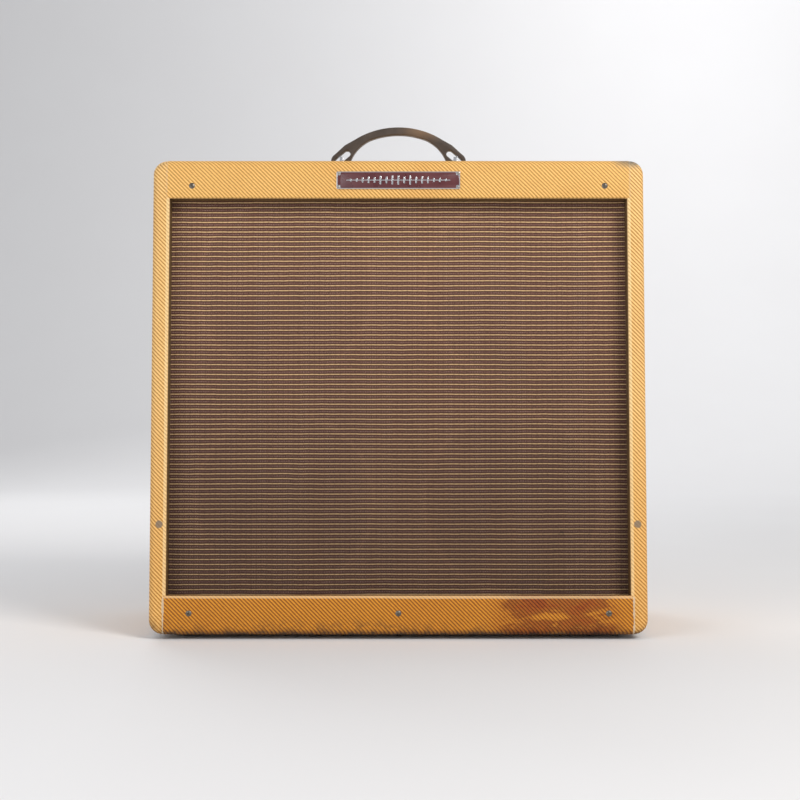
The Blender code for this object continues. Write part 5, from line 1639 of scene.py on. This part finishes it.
gasket = turn_profile(
    "gasket_master",
    mm((113.5, 0.02), (124, 0.02), (124, 0.22), (113.5, 0.22)),
    64,
    True,
)
for part in (cone, surround, dome, spider):
    smooth(part, 60)

# %% Terminal board and fixing screws
tag_board = box("tag_board_master", (-15 * MM, 70 * MM, -46 * MM), (15 * MM, 73 * MM, -30 * MM))
round_edges(tag_board, 0.5 * MM, 2)
tags = [
    box("tag", (x - 1.6 * MM, 72.5 * MM, -52 * MM), (x + 1.6 * MM, 73.2 * MM, -36 * MM))
    for x in (-8 * MM, 8 * MM)
]
tag_pair = round_edges(join("tag_pair_master", tags), 0.15 * MM, 1)
rim_screws = []
for i in range(8):
    angle = math.tau * (i + 0.5) / 8
    spot = Vector((120.5 * MM * math.cos(angle), 120.5 * MM * math.sin(angle), -2.7 * MM))
    nut = rod("rim_nut", spot, spot - Vector((0, 0, 2.6 * MM)), 4.1 * MM, 6)
    stem = rod("rim_stem", spot, spot - Vector((0, 0, 5.5 * MM)), 2.0 * MM, 16)
    rim_screws += [round_edges(nut, 0.35 * MM, 2), stem]
rim_nuts = join("rim_nuts_master", rim_screws)
print("basket:", len(basket.data.polygons), "faces; cone:", len(cone.data.polygons))

# %% Lean a copy of every part into each loudspeaker's place
FRAME_PARTS = [
    (basket, "basket", plated, "speaker_frame"),
    (bell, "magnet_bell", enamel_grey, "speaker_frame"),
    (gasket, "gasket", felt, "cone_paper"),
    (spider, "spider", spider_cloth, "cone_paper"),
    (surround, "surround", paper, "cone_paper"),
    (tag_board, "tag_board", fibre, "fibre_board"),
    (tag_pair, "tags", solder, "chromed_steel"),
    (smooth(rim_nuts, 30), "rim_nuts", plated, "nickel"),
]
CONE_PARTS = [(cone, "cone", paper), (dome, "dust_cap", dome_paper), (coil_tube, "coil", brown_base)]
lean_turn = Matrix.Rotation(math.pi / 2 - LEAN, 4, "X")
for body in speakers:
    label = body.replace("cone_", "")
    low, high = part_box(f"speaker_{label}")
    rise = FLANGE_RADIUS * math.cos(LEAN)
    spot = Vector(((low.x + high.x) / 2, low.y + FLANGE_RADIUS * math.sin(LEAN), high.z - rise))
    for master, part, material, slot in FRAME_PARTS:
        stands_for = body.replace("cone_", "speaker_") if part == "basket" else ()
        dress(copy(master, f"{part}_{label}", spot, lean_turn), material, "cabinet", stands_for)
    for master, part, material in CONE_PARTS:
        name = f"{part}_{label}_paper" if part == "cone" else f"{part}_{label}"
        piece = copy(master, name, spot, lean_turn)
        dress(piece, material, body, body if part == "cone" else ())
for master, *_ in FRAME_PARTS + CONE_PARTS:
    bpy.data.objects.remove(master)
print("loudspeakers:", len(speakers))

# %% [markdown]
# ## Valves
# Glass bottles hang upside down from the chassis. The big ones show their grey plates, mica spacers and a
# silvery getter patch, over a brown base. The small ones wear turned aluminium shields.

# %% A large valve, modelled hanging from the shelf
SHELF_Z = chassis_low.z
grey_plate = metal("anode_plate", (0.20, 0.20, 0.21), 0.5, 0.4)
mica = moulded("mica", (0.62, 0.60, 0.52), 0.3, 0.1)
getter = metal("getter", (0.50, 0.50, 0.52), 0.10, 0.1)


def large_valve(node):
    low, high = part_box(node)
    x, y = (low.x + high.x) / 2, (low.y + high.y) / 2
    tall = SHELF_Z - low.z
    radius = (18.2 if tall > 85 * MM else 16.2) * MM
    base_end = 24 * MM

    def put(piece, material, stands_for=()):
        return dress(stand(piece, (x, y, SHELF_Z)), material, "cabinet", stands_for)

    outside = [(radius * 0.80, -base_end + 1 * MM), (radius * 0.93, -base_end - 4 * MM)]
    outside += [(radius, -base_end - 12 * MM), (radius, -tall + radius * 0.85)]
    outside += [(radius * 0.93, -tall + radius * 0.45), (radius * 0.7, -tall + 3.4 * MM)]
    outside += [(radius * 0.35, -tall + 1.0 * MM), (0, -tall + 0.4 * MM)]
    bottle = turn_profile(f"{node}_bottle", outside, 40)
    modify(bottle, "SOLIDIFY", thickness=0.9 * MM, offset=-1)
    put(smooth(bottle, 50), valve_glass, node)
    base = turn_profile(
        f"{node}_base",
        [
            (0, -3.6 * MM), (17.1 * MM, -3.6 * MM), (17.1 * MM, -19 * MM), (16.4 * MM, -base_end),
            (radius * 0.82, -base_end), (0, -base_end + 1.5 * MM),
        ],
        40,
    )
    put(base, brown_base)
    top = -base_end - 8 * MM
    anode = box(f"{node}_anode", (-9 * MM, -6 * MM, -tall + 19 * MM), (9 * MM, 6 * MM, top))
    round_edges(anode, 3 * MM, 4)
    wings = box("anode_wing", (-12.5 * MM, -0.4 * MM, -tall + 20 * MM), (12.5 * MM, 0.4 * MM, top - MM))
    put(join(f"{node}_anode", [anode, wings]), grey_plate)
    discs = []
    for height in (top + 0.6 * MM, -tall + 18 * MM):
        discs.append(rod("mica_disc", (0, 0, height), (0, 0, height + 0.5 * MM), radius * 0.84, 28))
    put(round_edges(join(f"{node}_spacers", discs), 0.1 * MM, 1), mica)
    mirror = turn_profile(
        f"{node}_getter",
        [
            (radius * 0.80, -tall + radius * 0.62), (radius * 0.62, -tall + 4.6 * MM),
            (radius * 0.3, -tall + 2.3 * MM), (0, -tall + 1.8 * MM),
        ],
        32,
    )
    modify(mirror, "SOLIDIFY", thickness=0.12 * MM, offset=-1)
    put(smooth(mirror, 60), getter)
    skirt = turn_profile(
        f"{node}_socket",
        mm((0, 0.8), (14, 0.8), (14, -0.1), (19.3, -0.1), (19.3, -1.2), (18, -3.4), (0, -3.4)),
        40,
    )
    put(skirt, phenolic)


LARGE = ("rectifier_valve", "power_valve_a", "power_valve_b")
for node in LARGE:
    large_valve(node)

# %% Shields over the small valves
for node in ("preamp_valve_a", "preamp_valve_b", "preamp_valve_c"):
    low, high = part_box(node)
    x, y, tall = (low.x + high.x) / 2, (low.y + high.y) / 2, SHELF_Z - low.z
    shield = turn_profile(
        f"{node}_shield",
        [
            (11.4 * MM, -2.6 * MM), (11.9 * MM, -3.4 * MM), (11.4 * MM, -5.4 * MM),
            (11.6 * MM, -14 * MM), (10.9 * MM, -15.6 * MM), (10.9 * MM, -tall + 4 * MM),
            (10.2 * MM, -tall + 1.6 * MM), (8.4 * MM, -tall + 0.3 * MM), (6.0 * MM, -tall + 0.3 * MM),
            (5.6 * MM, -tall + 1.4 * MM),
        ],
        40,
    )
    modify(shield, "SOLIDIFY", thickness=0.45 * MM, offset=-1)
    dress(smooth(stand(shield, (x, y, SHELF_Z)), 40), aluminium, "cabinet", node)
    tip = turn_profile(
        f"{node}_glass",
        [
            (0, -4 * MM), (9.4 * MM, -4 * MM), (9.4 * MM, -tall + 9 * MM), (7 * MM, -tall + 4 * MM),
            (2 * MM, -tall + 2.2 * MM), (0, -tall + 0.6 * MM),
        ],
        32,
    )
    dress(smooth(stand(tip, (x, y, SHELF_Z)), 45), getter)
    ring = turn_profile(
        f"{node}_socket",
        mm((0, 0.8), (9.3, 0.8), (9.3, -0.1), (12.9, -0.1), (12.9, -2.2), (0, -2.2)),
        36,
    )
    dress(stand(ring, (x, y, SHELF_Z)), plated)
print("valves: 6")

# %% [markdown]
# ## Transformers
# Stacks of thin steel sheets, bolted between black bells. The sheets show as fine lines round the edge of
# the stack, so that pattern is in the stack's finish, and the bells are bevelled boxes.

# %% Stack, bells and bolts
def laminations(name, axis):
    f = Finish(name, roughness=0.5, metallic=0.6)
    across = f.parts(f.place["Object"])[axis]
    lines = f.wave(across, 0.9 * MM)
    cloud = f.noise(f.place["Object"], 70, 3)
    steel = f.mix(cloud, (0.10, 0.10, 0.10), (0.20, 0.16, 0.13))
    f.colour(f.mix(f.between(lines, -0.6, 0.6), (0.045, 0.042, 0.040), steel))
    f.bump(lines, 0.15 * MM, 0.6)
    return f.material


def bevelled(name, low, high, width, segments=4):
    return smooth(round_edges(box(name, low, high), width, segments), 40)


power_low, power_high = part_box("power_transformer")
core_low = SHELF_Z - 30.3 * MM
dress(
    bevelled(
        "power_stack",
        (power_low.x, power_low.y, core_low),
        (power_high.x, power_high.y, SHELF_Z - 0.3 * MM),
        0.6 * MM,
        2,
    ),
    laminations("laminations_flat", 2),
    "cabinet",
    "power_transformer",
)
bell_low = (power_low.x + 7 * MM, power_low.y + 4.5 * MM, power_low.z)
bell_high = (power_high.x - 7 * MM, power_high.y - 4.5 * MM, core_low - 1.0 * MM)
flange_low = (power_low.x + 2 * MM, power_low.y + 1.5 * MM, core_low - 1.4 * MM)
flange_high = (power_high.x - 2 * MM, power_high.y - 1.5 * MM, core_low - 0.05 * MM)
bell_shape = join(
    "power_bell",
    [
        bevelled("bell", bell_low, bell_high, 8 * MM, 6),
        bevelled("flange", flange_low, flange_high, 0.5 * MM, 2),
    ],
)
dress(bell_shape, black_enamel)
bolts = []
for x in (power_low.x + 6 * MM, power_high.x - 6 * MM):
    for y in (power_low.y + 5.5 * MM, power_high.y - 5.5 * MM):
        bolt = rod("bolt", (x, y, core_low - 4.5 * MM), (x, y, core_low - 1.4 * MM), 3.9 * MM, 6)
        stem = rod("stem", (x, y, core_low - 7.5 * MM), (x, y, core_low), 2.0 * MM, 16)
        bolts += [round_edges(bolt, 0.4 * MM, 2), stem]
dress(smooth(join("power_bolts", bolts), 30), plated)
coil_box = bevelled(
    "power_coil_wrap",
    (power_low.x + 13 * MM, power_low.y + 10 * MM, SHELF_Z - MM),
    (power_high.x - 13 * MM, power_high.y - 9 * MM, power_high.z),
    4 * MM,
)
dress(coil_box, fibre)
for node, stack_depth in (("output_transformer", 22 * MM), ("smoothing_choke", 18 * MM)):
    low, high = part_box(node)
    x_low, x_high = low.x + 10 * MM, high.x - 10 * MM
    stack_low = (x_low, high.y - stack_depth, low.z)
    stack = bevelled(f"{node}_stack", stack_low, (x_high, high.y, high.z), 0.5 * MM, 2)
    dress(stack, laminations(f"{node}_sheets", 1), "cabinet", node)
    cover = bevelled(
        f"{node}_bell",
        (x_low + 5 * MM, low.y, low.z + 4 * MM),
        (x_high - 5 * MM, high.y - stack_depth + MM, high.z - 4 * MM),
        5 * MM,
        5,
    )
    mid_z = (low.z + high.z) / 2
    strap_low = (low.x, high.y - 1.5 * MM, mid_z - 8 * MM)
    strap_high = (high.x, high.y - 0.02 * MM, mid_z + 8 * MM)
    strap = bevelled(f"{node}_foot", strap_low, strap_high, 0.4 * MM, 2)
    dress(join(f"{node}_bell", [cover, strap]), black_enamel)
print("transformers: 3")

# %% [markdown]
# ## Circuit board
# A strip of waxed fibre board stands behind the controls with its capacitors and resistors in a row, each
# tied between two brass eyelets. The node keeps its form, and small parts are added over it.

# %% Parts along the board
board_low, board_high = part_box("circuit_board")
finish_node(fibre, "circuit_board")
wax_yellow = moulded("capacitor_wax", (0.78, 0.50, 0.09), 0.38, 0.12, 300)
resistor_brown = moulded("resistor_body", (0.21, 0.11, 0.06), 0.45, 0.2)
PARTS_X = [board_low.x + 15 * MM + i * 33 * MM for i in range(9)]
bodies, eyelets, resistors = [], [], []
board_face = board_low.y + 2.2 * MM
mid_z = (board_low.z + board_high.z) / 2
for i, x in enumerate(PARTS_X):
    y = board_face + 4.8 * MM
    can = turn_profile(
        "can",
        mm((0, -15.3), (4.6, -15.3), (5.7, -14), (5.7, 14), (4.6, 15.3), (0, 15.3)),
        24,
    )
    bodies.append(stand(can, (x, y, mid_z)))
    for end in (-1, 1):
        spot = Vector((x, board_face, mid_z + end * 19.5 * MM))
        eyelets.append(rod("eyelet", spot, spot + Vector((0, 0.9 * MM, 0)), 1.7 * MM, 14))
    if i < len(PARTS_X) - 1:
        resistor = turn_profile(
            "resistor",
            mm((0, -6), (2.1, -6), (2.3, -5), (2.3, 5), (2.1, 6), (0, 6)),
            16,
        )
        spot = (x + 16.5 * MM, board_face + 2.6 * MM, mid_z + (i % 3 - 1) * 5 * MM)
        resistors.append(stand(resistor, spot))
dress(smooth(join("capacitor_bodies", bodies), 35), wax_yellow)
dress(smooth(join("resistor_bodies", resistors), 35), resistor_brown)
dress(smooth(join("eyelets", eyelets), 30), brass)
print("capacitors:", len(bodies), "resistors:", len(PARTS_X) - 1)

# %% [markdown]
# ## Loudspeaker lead, grommet and glides
# The lead is braided over, so its finish runs along it, on a UV map laid round and along its tube. It drops
# straight from its plug and loops forward to the first loudspeaker's tags. It is held at both ends.

# %% The lead and its plug
SOCKET = Vector((-26 * MM, 92 * MM, SHELF_Z))
ROUTE = [
    (0, 0, -0.028),
    (0, -0.001, -0.055),
    (0.002, -0.010, -0.090),
    (0.008, -0.032, -0.124),
    (0.012, -0.060, -0.138),
    (0.010, -0.090, -0.128),
    (0.002, -0.112, -0.105),
    (-0.008, -0.124, -0.084),
]


def smooth_route(points, steps):
    spots = [2 * points[0] - points[1], *points, 2 * points[-1] - points[-2]]
    made = []
    for a, b, c, d in zip(spots, spots[1:], spots[2:], spots[3:]):
        for i in range(steps):
            t = i / steps
            square, cube = 2 * a - 5 * b + 4 * c - d, 3 * b - a - 3 * c + d
            made.append(0.5 * (2 * b + (c - a) * t + square * t**2 + cube * t**3))
    return made + [points[-1]]


path = smooth_route([SOCKET + Vector(offset) for offset in ROUTE], 8)
curve = bpy.data.curves.new("lead", "CURVE")
curve.dimensions, curve.bevel_depth, curve.bevel_resolution, curve.use_fill_caps = "3D", 2.4 * MM, 4, True
spline = curve.splines.new("POLY")
spline.points.add(len(path) - 1)
for point, spot in zip(spline.points, path):
    point.co = (*spot, 1)
lead = bpy.data.objects.new("speaker_cable", curve)
bpy.context.scene.collection.objects.link(lead)
hold(lead)
bpy.ops.object.convert(target="MESH")
lead = face_out(bpy.context.object)
run = [0.0]
for a, b in zip(path, path[1:]):
    run.append(run[-1] + (b - a).length)


def along_lead(x, y, z):
    """How far round and along the lead a point of its surface is."""
    here = Vector((x, y, z))
    nearest = min(range(len(path)), key=lambda i: (path[i] - here).length)
    off = here - path[nearest]
    return math.atan2(off.x, off.y if abs(off.y) > abs(off.z) else off.z) / math.tau, run[nearest]


lay_cloth(lead, along_lead)
lead_braid = wire_cloth("lead_braid", (0.17, 0.10, 0.055))
dress(smooth(lead, 50), lead_braid, "cabinet", "speaker_lead")
lead_plug = turn_profile(
    "lead_plug",
    mm(
        (0, 0.6), (4.6, 0.6), (4.6, -0.3), (8.4, -0.3), (8.4, -2.8), (6.8, -3.2), (6.8, -6),
        (6.4, -6.6), (6.8, -7.2), (6.8, -20), (4.4, -29.5), (0, -29.9),
    ),
    32,
)
dress(smooth(stand(lead_plug, SOCKET), 35), phenolic)
finish_node(rubber, "cord_grommet")
print("lead:", round(run[-1], 3), "long")

# %% Glides
for node in ("glide_front_left", "glide_front_right", "glide_rear_left", "glide_rear_right"):
    low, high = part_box(node)
    foot = turn_profile(
        f"{node}_dome",
        mm((0, 0), (5.5, 0.05), (8.2, 0.9), (10.0, 3.0), (10.5, 5.2), (10.3, 5.7), (0, 5.7)),
        36,
    )
    foot = stand(foot, ((low.x + high.x) / 2, (low.y + high.y) / 2, 0))
    dress(smooth(foot, 40), nickel, "cabinet", node)
print("glides: 4")

# %% [markdown]
# ## Floor, wall and light
# A pale floor curves up into a pale wall. One large soft light from the upper right does the modelling, a
# weaker one from the left keeps the shaded side open, one behind lights the back, and one lights the wall.

# %% The backdrop
drop_selection()
FLOOR_HALF, WALL_Y, WALL_HIGH = 6.0, 5.0, 5.0
bpy.ops.mesh.primitive_plane_add(size=1)
backdrop = settle(bpy.context.object, "backdrop")
edit(backdrop)
bpy.ops.mesh.select_all(action="SELECT")
bpy.ops.transform.resize(value=(2 * FLOOR_HALF, FLOOR_HALF + WALL_Y, 1), center_override=(0, 0, 0))
bpy.ops.transform.translate(value=(0, (WALL_Y - FLOOR_HALF) / 2, 0))
select_mode("edges")
pick(backdrop, lambda e: middle(e).y > WALL_Y - 0.01, "edges")
bpy.ops.mesh.extrude_edges_move(TRANSFORM_OT_translate={"value": (0, 0, WALL_HIGH)})
pick(backdrop, lambda e: abs(middle(e).y - WALL_Y) < 0.01 and abs(middle(e).z) < 0.01, "edges")
bpy.ops.mesh.bevel(offset=2.5, segments=24, affect="EDGES")
bpy.ops.object.mode_set(mode="OBJECT")
smooth(backdrop, 30)
wall_paint = Finish("pale_backdrop", (0.80, 0.795, 0.80), 0.85)
dapple = wall_paint.noise(wall_paint.place["Object"], 3, 2)
wall_paint.colour(wall_paint.mix(dapple, (0.80, 0.79, 0.795), (0.82, 0.815, 0.82)))
backdrop.data.materials.append(wall_paint.material)
backdrop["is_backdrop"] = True

# %% The lights
bpy.context.scene.view_settings.view_transform = "Standard"
world = bpy.data.worlds.new("studio")
bpy.context.scene.world = world
world.use_nodes = True
world.node_tree.nodes["Background"].inputs["Color"].default_value = (0.95, 0.97, 1.0, 1)
world.node_tree.nodes["Background"].inputs["Strength"].default_value = 0.48


def soft_light(name, place, aim, size, power, colour=(1, 1, 1)):
    drop_selection()
    turn = (Vector(aim) - Vector(place)).to_track_quat("-Z", "Y").to_euler()
    bpy.ops.object.light_add(type="AREA", location=place, rotation=turn)
    light = bpy.context.object
    light.name = name
    light.data.shape = "DISK"
    light.data.size = size
    light.data.energy = power
    light.data.color = colour
    return light


soft_light("key", (1.5, -1.7, 1.9), (0, 0, 0.3), 1.1, 45, (1.0, 0.97, 0.93))
soft_light("fill", (-1.8, -1.9, 1.0), (0, 0, 0.3), 1.8, 20, (0.93, 0.96, 1.0))
soft_light("rear", (-1.2, 2.2, 1.8), (0, 0, 0.3), 1.8, 18)
soft_light("backdrop_light", (1.6, 2.6, 3.2), (0.9, 5.0, 1.4), 1.5, 48)

# %% [markdown]
# ## Print both sizes
# The dressed object has to keep the working model's size, so both boxes are printed side by side.

# %% Print both boxes
dressed_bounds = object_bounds()
for label, (low, high) in (("model", cad_bounds), ("dressed", dressed_bounds)):
    print(label, [round(b - a, 4) for a, b in zip(low, high)])
